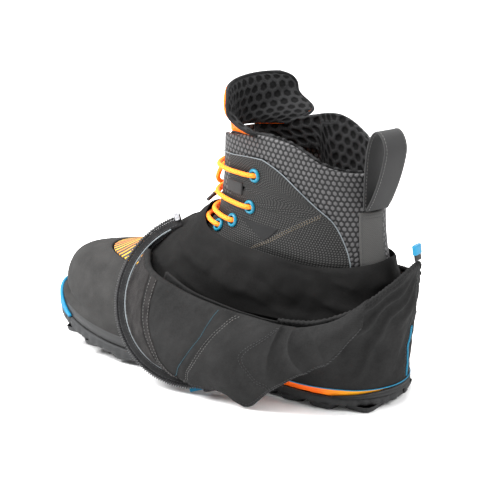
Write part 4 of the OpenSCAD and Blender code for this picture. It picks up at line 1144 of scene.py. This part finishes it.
# %% Coil, tape and piping
ZIP_START, ZIP_END, COIL_PITCH = 11, 198, 1.9
turns = int((ZIP_END - ZIP_START) * math.pi / 180 * ZIP_R / COIL_PITCH)
s = np.linspace(0, 1, turns * 12 + 1)
phi = 2 * np.pi * turns * s
coil_path = on_zip(11.5 + 186 * s, 66.05 + 1.25 * np.cos(phi), 1.05 * np.sin(phi))
coil = swept_piece("zip_coil", coil_path, round_profile(.42, 6), COIL)
dress("zip_chain_flap")
core = swept_piece("zip_coil_core", on_zip(np.linspace(11.5, 197.5, 260), 65.9), round_profile(.75, 6),
                   THREAD_BLACK, up=ZIP_N)
A, R = np.meshgrid(np.linspace(ZIP_END, ZIP_START, 260), np.linspace(58.4, 65.0, 9))
tape_h = .4 - .25 * (np.abs(R - 61.7) > 3.2)
zip_tape = sheet_piece("zip_tape_cloth", on_zip(A, R, tape_h), on_zip(A, R, -tape_h), LINING_BLACK)
dress("zip_tape_flap")
a = np.linspace(20, 180, 400)
silver = swept_piece("zip_piping", on_zip(a, 58.6, .55), round_profile(.62, 8), PALE_EDGE, up=ZIP_N)
for k, r in enumerate((60.2, 63.6)):
    a = np.linspace(14, 194, 300)
    stitches("zip_tape_stitch_%d" % k, on_zip(a, r, .42), np.broadcast_to(ZIP_N, (300, 3)), THREAD_BLACK)
print("zip:", turns, "turns of wire")

# %% [markdown]
# ## The pull tab at the back
# A short loop of webbing ends in a moulded blue grip. It hangs on the gaiter's rim and flexes there.

# %% Rear tab
def in_tab(p):
    """From the tab's own frame, which leans back by 8 degrees, to the boot's."""
    c, s = math.cos(math.radians(-8)), math.sin(math.radians(-8))
    p = np.asarray(p, float)
    return np.stack([56 + p[..., 0] * c + p[..., 2] * s, p[..., 1],
                     111.4 - p[..., 0] * s + p[..., 2] * c], -1)

z = np.linspace(0, 10, 24)
tab = swept_piece("rear_tab_webbing", in_tab(np.stack([0 * z, 0 * z, z], -1)), strap_profile(8.8, 2.2),
                  WEBBING_BLACK, up=np.array([1.0, 0, 0]), body="rear_tab")
a = np.linspace(0, 2 * np.pi, 33)[:-1]
k = (np.abs(np.cos(a)) ** 4 + np.abs(np.sin(a)) ** 4) ** -.25
levels = np.array([[4.5, .9], [4.7, .98], [5.4, 1], [6.2, .93], [7, 1], [7.8, .93], [8.6, 1], [9.4, .93],
                   [10.2, 1], [10.9, .97], [11.35, .86], [11.5, .7], [11.5, .02]])
grip = np.stack([1.9 * levels[:, 1:] * k * np.cos(a), 5.1 * (1 - (1 - levels[:, 1:]) * .4) * k * np.sin(a),
                 np.broadcast_to(levels[:, :1], (len(levels), 32))], -1)
grip[-1] *= [.02, .02, 1]
inner = grip[0] * [.75, .93, 1]
tip = add_mesh("rear_tab_grip", in_tab(np.concatenate([inner[None], grip]).reshape(-1, 3)),
               grid_faces(len(levels) + 1, 32, wrap=True), None, WELT_BLUE, body="rear_tab")
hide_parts("gaiter_tab")
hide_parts("gaiter_tab_end")

# %% [markdown]
# ## The inner boot
# The upper is knitted mesh with a printed grid of raised dots. Over it lies a pressed film with the lace
# holes, edged with a pale line, and small stays of thicker material. The heel carries a sewn webbing.

# %% Lower upper and quarters
vamp = panel("vamp_mesh", 90, 270, 60, 0, 3.59, 30, -3, 0, TOE_FABRIC, 1.0)
cup = panel("heel_cup_mesh", -89.7, 89.7, 60, 0, 3.59, 30, -3, 0, TOE_FABRIC, 1.0)
quarter_out = panel("quarter_mesh_outer", 200, 359.9, 120, 3.61, 7, 90, -3, 0, HEX_MESH, 1.6)
quarter_in = panel("quarter_mesh_inner", .1, 160, 120, 3.61, 7, 90, -3, 0, HEX_MESH, 1.6)
for piece, node, slot in ((vamp, "vamp", "upper_fabric"), (cup, "heel_cup", "upper_fabric"),
                          (quarter_out, "quarter_outer", "hex_mesh"),
                          (quarter_in, "quarter_inner", "hex_mesh")):
    dress(node)

# %% Film with its pale edge
FILM_EDGE = [[4.2, 144], [4.75, 143], [5.3, 139], [5.9, 130], [6.2, 117], [6.42, 103], [6.58, 90], [6.68, 76]]

def film_edge(v):
    return curve(FILM_EDGE, v)

def film_start(v):
    """The film's front edge: near the throat below, further back at the top, with a notch for the webbing
    tab between the two upper rows of lace."""
    return 28 + 16 * smooth(v, 5.95, 6.1) + 20 * smooth(v, 5.8, 5.88) * (1 - smooth(v, 6.17, 6.25))

SIDE = {"outer": 1, "inner": -1}
for side, s in SIDE.items():
    ta = (lambda v: 180 + film_start(v)) if s > 0 else (lambda v: 180 - film_edge(v))
    tb = (lambda v: 180 + film_edge(v)) if s > 0 else (lambda v: 180 - film_start(v))
    panel("film_" + side, ta, tb, 110, 4.2, 6.66, 80, .45, 1.55, FILM, .8)
    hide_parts("film_overlay_" + side)
    # the pale line on the film's rear and upper edge
    v = np.linspace(4.25, 6.66, 160)
    e = film_edge(v)
    t = 180 + s * e
    line = on_last(t, v, 1.35)
    top_t = 180 + s * np.linspace(float(e[-1]), 27, 90)
    line = np.concatenate([line, on_last(top_t, np.full(90, 6.66), 1.3)])
    bead = swept_piece("film_edge_" + side, respaced(line, 1.2), round_profile(.42, 6), PALE_EDGE)
    # a speckled seam that runs under the film's edge to the collar
    for k, up in enumerate((0, .05, .1, .15)):
        q = spline([[82, 4.53 + up], [90, 4.95 + up], [99, 5.35 + up * .9], [111, 5.72 + up * .7],
                    [122, 5.98 + up * .5]], 30)
        t = 180 + s * q[:, 0]
        stitches("film_seam_%s_%d" % (side, k), on_last(t, q[:, 1], 1.58), last_normal(t, q[:, 1]),
                 THREAD_GOLD if k % 2 == 0 else THREAD_GREY, 2.0 + .13 * k, 1.0, .2)

# %% Stays and patches on the film
for side, s in SIDE.items():
    a, b = (lambda v: 85 - 46 * (v - 4.9)), (lambda v: 86 + 14 * (v - 4.9))
    ta = (lambda v: 180 + a(v)) if s > 0 else (lambda v: 180 - b(v))
    tb = (lambda v: 180 + b(v)) if s > 0 else (lambda v: 180 - a(v))
    patch = panel("flex_patch_" + side, ta, tb, 30, 4.9, 5.4, 30, 1.5, 2.2, SMOOTH_BLACK, .9)
    dress("flex_patch_" + side)
    stay = panel("lace_stay_" + side, 205 if s > 0 else 92, 268 if s > 0 else 155, 60, 3.75, 4.17, 14,
                 .55, 1.7, STAY, .8)
    dress("lace_stay_" + side)
tabs = [panel("webbing_tab_" + side, 180 + s * 53 - 9, 180 + s * 53 + 9, 20, 5.98, 6.22, 16, 1.4, 2.65,
              WEBBING_BLACK, .7) for side, s in SIDE.items()]
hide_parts("webbing_tabs")

# %% Webbing at the heel
WEBBING_W, HEEL_T = 20, 345
half = WEBBING_W / 2 / 41 * 57.3            # in degrees, on a heel of radius 41
stay = panel("heel_webbing", HEEL_T - half, HEEL_T + half, 30, 3.3, 6.16, 80, .1, 1.8, WEBBING_GREY, .9)
dress("heel_stay")
v = np.linspace(3.4, 6.12, 160)
for k, off in enumerate((-.84, .84)):
    t = np.full(160, HEEL_T + off * half)
    stitches("heel_webbing_stitch_%d" % k, on_last(t, v, 1.8), last_normal(t, v), THREAD_BLACK, 2.4, 1.7, .24)
t = np.linspace(HEEL_T - .8 * half, HEEL_T + .8 * half, 40)
for k, ring in enumerate((6.02, 6.1)):
    stitches("heel_webbing_bar_%d" % k, on_last(t, np.full(40, ring), 1.85),
             last_normal(t, np.full(40, ring)), THREAD_BLACK, 1.7, 1.3, .24)

# %% [markdown]
# ### The pull loop
# A strap of webbing stands at the heel. Its side view is a bent loop, and its cross section is a flat strap
# with round edges, carried along that line.

# %% Pull loop
LOOP = [[0, 2], [0, 12], [.4, 24], [2, 42], [6.5, 56], [13, 61.5], [20, 58], [23, 48], [17.5, 29], [9.5, 12],
        [3, 2]]
loop_n = last_normal(float(HEEL_T), 6.2)
loop_out = unit(np.array([loop_n[0], loop_n[1], 0]))
loop_side = np.array([-loop_out[1], loop_out[0], 0])
loop_p = last(float(HEEL_T), 6.2) + 1.2 * loop_out
q = spline(LOOP, 14)
path = loop_p + (q[:, :1] + .8) * loop_out + q[:, 1:] * [0, 0, 1]
path = respaced(path, .8)
t_dir = unit(np.gradient(path, axis=0))
prof = strap_profile(WEBBING_W, 1.7, 4)
nrm = np.cross(t_dir, loop_side)
v = path[:, None] + prof[None, :, :1] * loop_side + prof[None, :, 1:] * nrm[:, None]
k = len(prof)
d = np.arange(len(path)) * .8
w = np.concatenate([[0], np.cumsum(np.linalg.norm(np.diff(prof, axis=0), axis=1))])
uv = np.stack(np.broadcast_arrays(w[None], d[:, None]), -1).reshape(-1, 2)
loop = add_mesh("pull_loop_webbing", v.reshape(-1, 3), grid_faces(len(path), k, wrap=True), uv,
                WEBBING_BLACK, body="heel_loop")
dress("pull_loop")
for m, off in enumerate((-8.4, 8.4)):
    for sgn in (-1, 1):
        stitches("pull_loop_stitch_%d_%d" % (m, sgn + 1), path + loop_side * off + nrm * sgn * .85, nrm * sgn,
                 THREAD_GREY, 2.6, 1.8, .22, body="heel_loop")
print("pull loop:", round(float(d[-1]), 1), "mm of webbing")

# %% Eyelets
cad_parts["eyelets"].material_slots[0].material = EYELET_BLUE
EYELETS = [[73, 6.4], [70, 5.78], [55, 5.2], [45, 4.88]]
rings = []
for k, (e, v) in enumerate(EYELETS):
    for s in (-1, 1):
        t0 = 180 - s * e
        c, n = on_last(t0, v, 1.55 + 1.2), last_normal(t0, v)
        x = unit(np.cross(n, [0, 0, 1.0]))
        y = np.cross(n, x)
        a = np.linspace(0, 2 * np.pi, 33)
        # profile of the pressed ring: a flange that rolls over into the hole
        prof = np.array([[5.1, -1.2], [5.15, -.6], [4.95, .1], [4.5, .6], [3.9, .85], [3.3, .65], [2.95, .1],
                         [2.85, -.7], [2.9, -2.2], [3.2, -2.2], [3.3, -1.2]])
        g = c + prof[:, None, :1] * (np.cos(a)[:-1, None] * x + np.sin(a)[:-1, None] * y) \
            + prof[:, None, 1:] * n
        rings.append(g)
v = np.concatenate([g.reshape(-1, 3) for g in rings])
f = np.concatenate([np.concatenate([grid_faces(11, 32, i * 352, wrap=True, flip=True),
                                    np.stack([i * 352 + np.arange(32), i * 352 + (np.arange(32) + 1) % 32,
                                              i * 352 + 320 + (np.arange(32) + 1) % 32,
                                              i * 352 + 320 + np.arange(32)], -1)])
                    for i in range(8)])
eyes = add_mesh("eyelet_rings", v, f, v[:, :2], EYELET_BLUE)
dress("eyelets")
print("eyelets:", len(rings))

# %% [markdown]
# ## The lace
# One round braided lace runs through four pairs of eyelets, crosses inside, and comes up to a knot on the
# inner side of the top row. Its bow hangs down there: two loops and two short ends with plastic tips.

# %% Route through the eyelets
LACE_D, EYE_IN, FILM_OUT = 3.6, 5.1, 1.75
LACE_OUT = FILM_OUT + LACE_D / 2 + .3
KNOT_A = .38

def lace_bar(i, a, b, n):
    """Across the outside, over the tongue: taut, so that it dips a little over the gap."""
    w = np.linspace(a, b, n + 1) * EYELETS[i][0]
    return on_last(180 - w, np.full(n + 1, EYELETS[i][1]),
                   LACE_OUT + .5 - 2.4 * np.clip(1 - w**2 / 600, 0, 1))

def eye(i, side, d):
    return on_last(180. - side * EYELETS[i][0], EYELETS[i][1], d)[None]

def through(i, side, inwards):
    p = [eye(i, side, 2.0), eye(i, side, -EYE_IN + .5)]
    return np.concatenate(p if inwards else p[::-1])

def lace_under(i, j, n):
    """Inside, from the outer eyelet of row i to the inner one of row j."""
    f = np.arange(1, n) / n
    return on_last(180 - mix(-EYELETS[i][0], EYELETS[j][0], f), mix(EYELETS[i][1], EYELETS[j][1], f),
                   np.full(n - 1, -EYE_IN))

f = np.arange(1, 8) / 8
inner_run = on_last(180 - mix(-EYELETS[3][0] - 3, EYELETS[0][0], f), mix(EYELETS[3][1], EYELETS[0][1], f),
                    np.full(7, -EYE_IN - .1))
route = np.concatenate([
    lace_bar(0, KNOT_A - .06, -.93, 9), through(0, -1, True), lace_under(0, 1, 6), through(1, 1, False),
    lace_bar(1, .93, -.93, 11), through(1, -1, True), lace_under(1, 2, 5), through(2, 1, False),
    lace_bar(2, .91, -.91, 9), through(2, -1, True), lace_under(2, 3, 5), through(3, 1, False),
    lace_bar(3, .9, -.9, 9), through(3, -1, True), inner_run, through(0, 1, False),
    lace_bar(0, .93, KNOT_A + .06, 4)])
route = respaced(spline(route, 5), 1.2)
lace = swept_piece("lace_run", route, round_profile(LACE_D / 2, 12), LACE)
dress("lace")
print("lace in the eyelets:", round(len(route) * 1.2), "mm")

# %% Bow, knot and tips
LOOP_FRONT = [[23.5, 6.29, 5.2], [16, 6.3, 4.6], [7, 6.25, 4.6], [0, 6.09, 5.2], [-1, 5.89, 6],
              [5, 5.74, 6.2],
              [13, 5.72, 6.2], [19, 5.82, 6.2], [22, 5.98, 6.2], [24, 6.12, 6.4]]
LOOP_BACK = [[33.5, 6.27, 5.6], [42, 6.25, 3.8], [54, 6.25, 2.8], [66, 6.24, 2.8], [75, 6.16, 3], [79, 6, 4],
             [76, 5.84, 5.4], [67, 5.74, 6], [55, 5.74, 6], [45, 5.82, 6], [39.5, 5.97, 6], [37, 6.14, 6.2]]
END_FRONT = [[29.5, 6.2, 7], [28.5, 6.04, 8.2], [26, 5.9, 9.4], [21, 5.78, 10], [15, 5.67, 9.6], [9, 5.57, 8],
             [3, 5.48, 6.6], [-5, 5.4, 6.2]]
END_BACK = [[34, 6.36, 8], [41, 6.22, 8.8], [47, 6.06, 9], [52, 5.88, 9.5], [56, 5.7, 9.7], [61, 5.5, 7.4],
            [66, 5.3, 3.6], [71, 5.14, 2.8]]
knot_p = on_last(180 - KNOT_A * EYELETS[0][0], EYELETS[0][1], LACE_OUT + 1.6)

def hung(rows):
    q = np.array(rows, float)
    return on_last(180 - q[:, 0], q[:, 1], q[:, 2] + LACE_D / 2 + .4)

def lace_cord(name, rows, node):
    path = respaced(spline(hung(rows), 10), 1.1)
    o = swept_piece(name, path, round_profile(LACE_D / 2, 12), LACE)
    dress(node)
    return path

def tip(name, rows):
    """The plastic tip: a thin tube pressed on the braid, 10 mm long, with a rounded end."""
    p = hung(rows)
    d = unit(p[-1] - p[-2])
    s = np.array([-.6, 0, .3, 1.5, 9.2, 9.8, 10.2, 10.4])
    r = np.array([1.5, 1.72, 1.5, 1.44, 1.44, 1.3, .9, .1])
    o = swept_piece(name, p[-1] + s[:, None] * d, round_profile(1, 16), AGLET, scale=r)
    return o

tip_front, tip_back = tip("lace_tip_front", END_FRONT), tip("lace_tip_back", END_BACK)
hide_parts("aglets")
lace_cord("bow_front", LOOP_FRONT, "bow_loop_front")
lace_cord("bow_back", LOOP_BACK, "bow_loop_back")
lace_cord("end_front", END_FRONT, "lace_end_front")
lace_cord("end_back", END_BACK, "lace_end_back")
a = np.linspace(0, 2 * np.pi, 97)
n = last_normal(180 - KNOT_A * EYELETS[0][0], EYELETS[0][1])
x = unit(np.cross(n, [0, 0, 1.0]))
y = np.cross(n, x)
curl = [np.sin(a) + 2 * np.sin(2 * a), np.cos(a) - 2 * np.cos(2 * a), -1.4 * np.sin(3 * a)]
path = knot_p + .95 * (curl[0][:, None] * x + curl[1][:, None] * y + curl[2][:, None] * n)
knot = swept_piece("bow_knot", path, round_profile(1.6, 12), LACE)
dress("lace_knot")

# %% [markdown]
# ## Padding
# The tongue and the collar are spacer mesh over foam, sewn all round, so each is a little pillow. A short
# cloth simulation with air pressure gives them that swell: the seams hold still and the middle fills. Its
# result is taken as a set of points, refined, and then each cell of the honeycomb is pressed into it.

# %% Pillow by simulation
def pillow(outer, inner, cap, pressure=4.0, wrap=False):
    """Returns both grids after the swell. Border points are pinned, and no point moves more than cap mm."""
    m, n = outer.shape[:2]
    o = sheet_piece("pillow_trial", outer, inner, None, wrap=wrap, body=None)
    me = o.data
    hold = np.zeros((m, n), bool)
    hold[[0, -1]] = True
    if not wrap:
        hold[:, [0, -1]] = True
    group = o.vertex_groups.new(name="hold")
    group.add(np.flatnonzero(np.tile(hold.ravel(), 2)).tolist(), 1.0, "REPLACE")
    cloth = o.modifiers.new("Cloth", "CLOTH")
    c = cloth.settings
    c.quality, c.mass, c.air_damping = 6, .0004, 1.0
    c.tension_stiffness = c.compression_stiffness = 4
    c.shear_stiffness, c.bending_stiffness = 2, .02
    c.use_pressure, c.uniform_pressure_force = True, pressure
    c.vertex_group_mass, c.pin_stiffness = "hold", 1
    c.effector_weights.gravity = 0
    cloth.point_cache.frame_start, cloth.point_cache.frame_end = 1, 20
    scene = bpy.context.scene
    for frame_no in range(1, 21):
        scene.frame_set(frame_no)
    ev = o.evaluated_get(bpy.context.evaluated_depsgraph_get())
    got = np.empty(len(ev.data.vertices) * 3, np.float32)
    ev.data.vertices.foreach_get("co", got)
    got = got.reshape(-1, 3).astype(float) / MM
    rest = np.concatenate([outer.reshape(-1, 3), inner.reshape(-1, 3)])
    move = got - rest
    size = np.linalg.norm(move, axis=1, keepdims=True)
    move *= np.minimum(1, cap / np.maximum(size, 1e-6))
    print("swell: mean", round(float(size.mean()), 2), "most", round(float(size.max()), 2), "mm, cap", cap)
    scene.frame_set(1)
    PIECES.pop("pillow_trial")
    bpy.data.objects.remove(o)
    bpy.data.meshes.remove(me)
    out = rest + move
    return out[:m * n].reshape(m, n, 3), out[m * n:].reshape(m, n, 3)

def refine(grid, k):
    """Cubic refinement of a grid both ways."""
    g = spline(grid, k)
    return np.swapaxes(spline(np.swapaxes(g, 0, 1), k), 0, 1)

def grid_normal(g):
    return unit(np.cross(np.gradient(g, axis=1), np.gradient(g, axis=0)))

def cells(uv, pitch=8.4):
    """1 on the walls between hexagons, 0 in the cells. Same measure as in the honeycomb material."""
    def one(dx, dy):
        x = np.abs((uv[..., 0] / pitch + dx) % 1 - .5)
        y = np.abs((uv[..., 1] / pitch / 1.7320508 + dy) % 1 - .5) * 1.7320508
        return np.maximum(x, x * .5 + y * .8660254)
    return smooth(np.minimum(one(0, 0), one(.5, .5)), .22, .38)

# %% Tongue
TONGUE = [[0, .5, .045], [.12, .66, .034], [.3, .93, .018], [.55, .98, .010], [.8, .99, .008],
          [.93, .9, .008],
          [1, .74, .008]]
TONGUE_HALF, TONGUE_X, TONGUE_Z, TONGUE_RISE = 49, -99, 189.5, 37

def tongue_form(h, w):
    """h from the joint, 0, to the top, 1. w across, from -1 to 1.
    The sides curl back as k times y squared."""
    y = w * curve(TONGUE, h, 1) * TONGUE_HALF
    return np.stack([TONGUE_X + curve(TONGUE, h, 2) * y * y + 3 * h, y + 3 * h,
                     TONGUE_Z + TONGUE_RISE * h - 4 * h * np.abs(y / TONGUE_HALF) ** 3], -1)

def tongue_layer(rows, cols, d):
    H, W = np.meshgrid(rows, cols, indexing="ij")
    e = .01
    n = unit(np.cross(tongue_form(H, W + e) - tongue_form(H, W - e),
                      tongue_form(np.minimum(H + e, 1), W) - tongue_form(np.maximum(H - e, 0), W)))
    return tongue_form(H, W) + np.asarray(d)[..., None] * n

rows, cols = np.linspace(0, 1, 13), np.linspace(-1, 1, 31)
H, W = np.meshgrid(rows, cols, indexing="ij")
body_h = np.sqrt(np.clip(1 - np.abs(W) ** 6, 0, 1)) * np.sqrt(np.clip(1 - (2 * H - 1) ** 8, 0, 1))
pad_out, pad_in = pillow(tongue_layer(rows, cols, 1.4 + 2.6 * body_h),
                         tongue_layer(rows, cols, .6 + 0 * H), 1.6)
pad_out, pad_in = refine(pad_out, 5), refine(pad_in, 5)
uv = arc_uv(pad_out)
inside = smooth(np.minimum(np.minimum(uv[..., 0] - uv[:, :1, 0], uv[:, -1:, 0] - uv[..., 0]),
                           np.minimum(uv[..., 1] - uv[:1, :, 1], uv[-1:, :, 1] - uv[..., 1])), 1.5, 4.5)
pad_out = pad_out + ((cells(uv) - .75) * .9 * inside)[..., None] * grid_normal(pad_out)
tongue_pad = sheet_piece("tongue_pad", pad_out, pad_in, HONEYCOMB, uv=uv, body=None)
dress("tongue_top")

# %% The tongue's outer face and its edge
rows, cols = np.linspace(0, 1, 50), np.linspace(-1, 1, 90)
H, W = np.meshgrid(rows, cols, indexing="ij")
edge = (np.sqrt(np.clip(1 - np.abs(W) ** 10, 0, 1))
        * np.sqrt(np.clip(1 - np.clip(2 * H - 1, 0, 1) ** 12, 0, 1)))
TONGUE_FACE = taffeta("tongue_face_orange", (1.0, .14, .0005), (1.0, .22, .001))
tongue_face = sheet_piece("tongue_face", tongue_layer(rows, cols, .9 + 0 * H),
                          tongue_layer(rows, cols, -.3 - .9 * edge), TONGUE_FACE, body=None)
w = np.concatenate([np.full(30, -1.0), np.linspace(-1, 1, 60), np.full(30, 1.0)])
h = np.concatenate([np.linspace(0, .985, 30), np.full(60, .995), np.linspace(.985, 0, 30)])
rim_line = tongue_form(h, w) + [1.0, 0, 0]
binding = swept_piece("tongue_binding", respaced(rim_line, 1.2), round_profile(1.25, 8), LINING_BLACK,
                      body=None)
tongue_low = panel("tongue_base_cloth", 152, 208, 50, 3.8, 6.8, 60, -13.8, -8.8,
                   taffeta("tongue_base_orange", (.5, .11, .01), (.8, .2, .015)), 2.5)
dress("tongue_base")
for o in (tongue_pad, tongue_face, binding):
    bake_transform(o)

# %% Collar
def lining_bottom(t):
    return 5.7 + .82 * np.clip((np.abs(t) - 86) / 10, 0, 1)

def lining_layer(t_cols, f_rows, d):
    T, F = np.meshgrid(t_cols, f_rows)
    return on_last(T % 360, mix(lining_bottom(T), 6.99, F), d)

t_cols, f_rows = np.linspace(-150, 150, 61), np.linspace(0, 1, 9)
T, F = np.meshgrid(t_cols, f_rows)
near, far = lining_layer(t_cols, f_rows, -3.5 + 0 * T), lining_layer(t_cols, f_rows, -6.3 + 0 * T)
out_g, in_g = pillow(near, far, 1.8)
near, far = refine(out_g, 5), refine(in_g, 5)
# the upper edge rolls from the inner face over to the quarter in half an ellipse
top_up = unit(far[-1] - far[-6])
th = np.radians(np.linspace(15, 165, 9))[:, None, None]
mid, half_w = (near[-1] + far[-1]) / 2, (near[-1] - far[-1]) / 2
half_w = half_w * 1.15
roll = mid + half_w * -np.cos(th) + np.linalg.norm(half_w, axis=-1, keepdims=True) * 1.1 * np.sin(th) * top_up
inner_face = np.concatenate([far, roll[:5]])
outer_face = np.concatenate([near, roll[5:][::-1]])
pad = len(inner_face) - len(outer_face)
outer_face = np.concatenate([outer_face] + [outer_face[-1:] + (roll[4] - outer_face[-1]) * .5] * pad)
uv = arc_uv(inner_face)
inside = smooth(uv[..., 1] - uv[:1, :, 1], 1, 4)
inner_face = inner_face - ((cells(uv) - .75) * .9 * inside)[..., None] * grid_normal(inner_face)
collar_pad = sheet_piece("collar_pad", outer_face, inner_face, HONEYCOMB, uv=uv)
dress("collar_lining")

# %% [markdown]
# ## Parts that stay as they are
# Plates, stiffeners, the slider and its pull have the right shape already. They only take a finish.

# %% Finishes of the carried parts
CARBON = webbing("carbon_weave", (.01, .01, .011), (.06, .06, .063), 2.0)
for name, material in (("shank_plate", CARBON),
                       ("lasting_board", taffeta("lasting_board_pale", (.5, .45, .36),
                       (.62, .57, .47))), ("footbed", LINING_BLACK), ("heel_counter", SMOOTH_BLACK),
                       ("toe_stiffener", SMOOTH_BLACK), ("zip_chain_toe", COIL), ("zip_end_stops", STEEL),
                       ("zip_slider", SLIDER), ("zip_pull", WELT_BLUE)):
    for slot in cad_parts[name].material_slots:
        slot.material = material

# %% [markdown]
# ## The floor
# The boot stands on a plain pale floor. It is so wide that the camera sees no end of it.

# %% Floor
def floor_finish():
    s = Shader("floor_pale")
    p = s.place()
    tone = s.noise(p, .01, 3)
    return s.set(Base_Color=s.tint(tone, (.93, .93, .93), (.96, .96, .96)), Roughness=.6)

x = np.linspace(-2500, 2500, 60)
X, Y = np.meshgrid(x, x)
floor = add_mesh("floor", np.stack([X, Y, np.full(X.shape, -.3)], -1).reshape(-1, 3), grid_faces(60, 60),
                 None, floor_finish())

# %% Count the pieces
print(len(PIECES), "pieces")
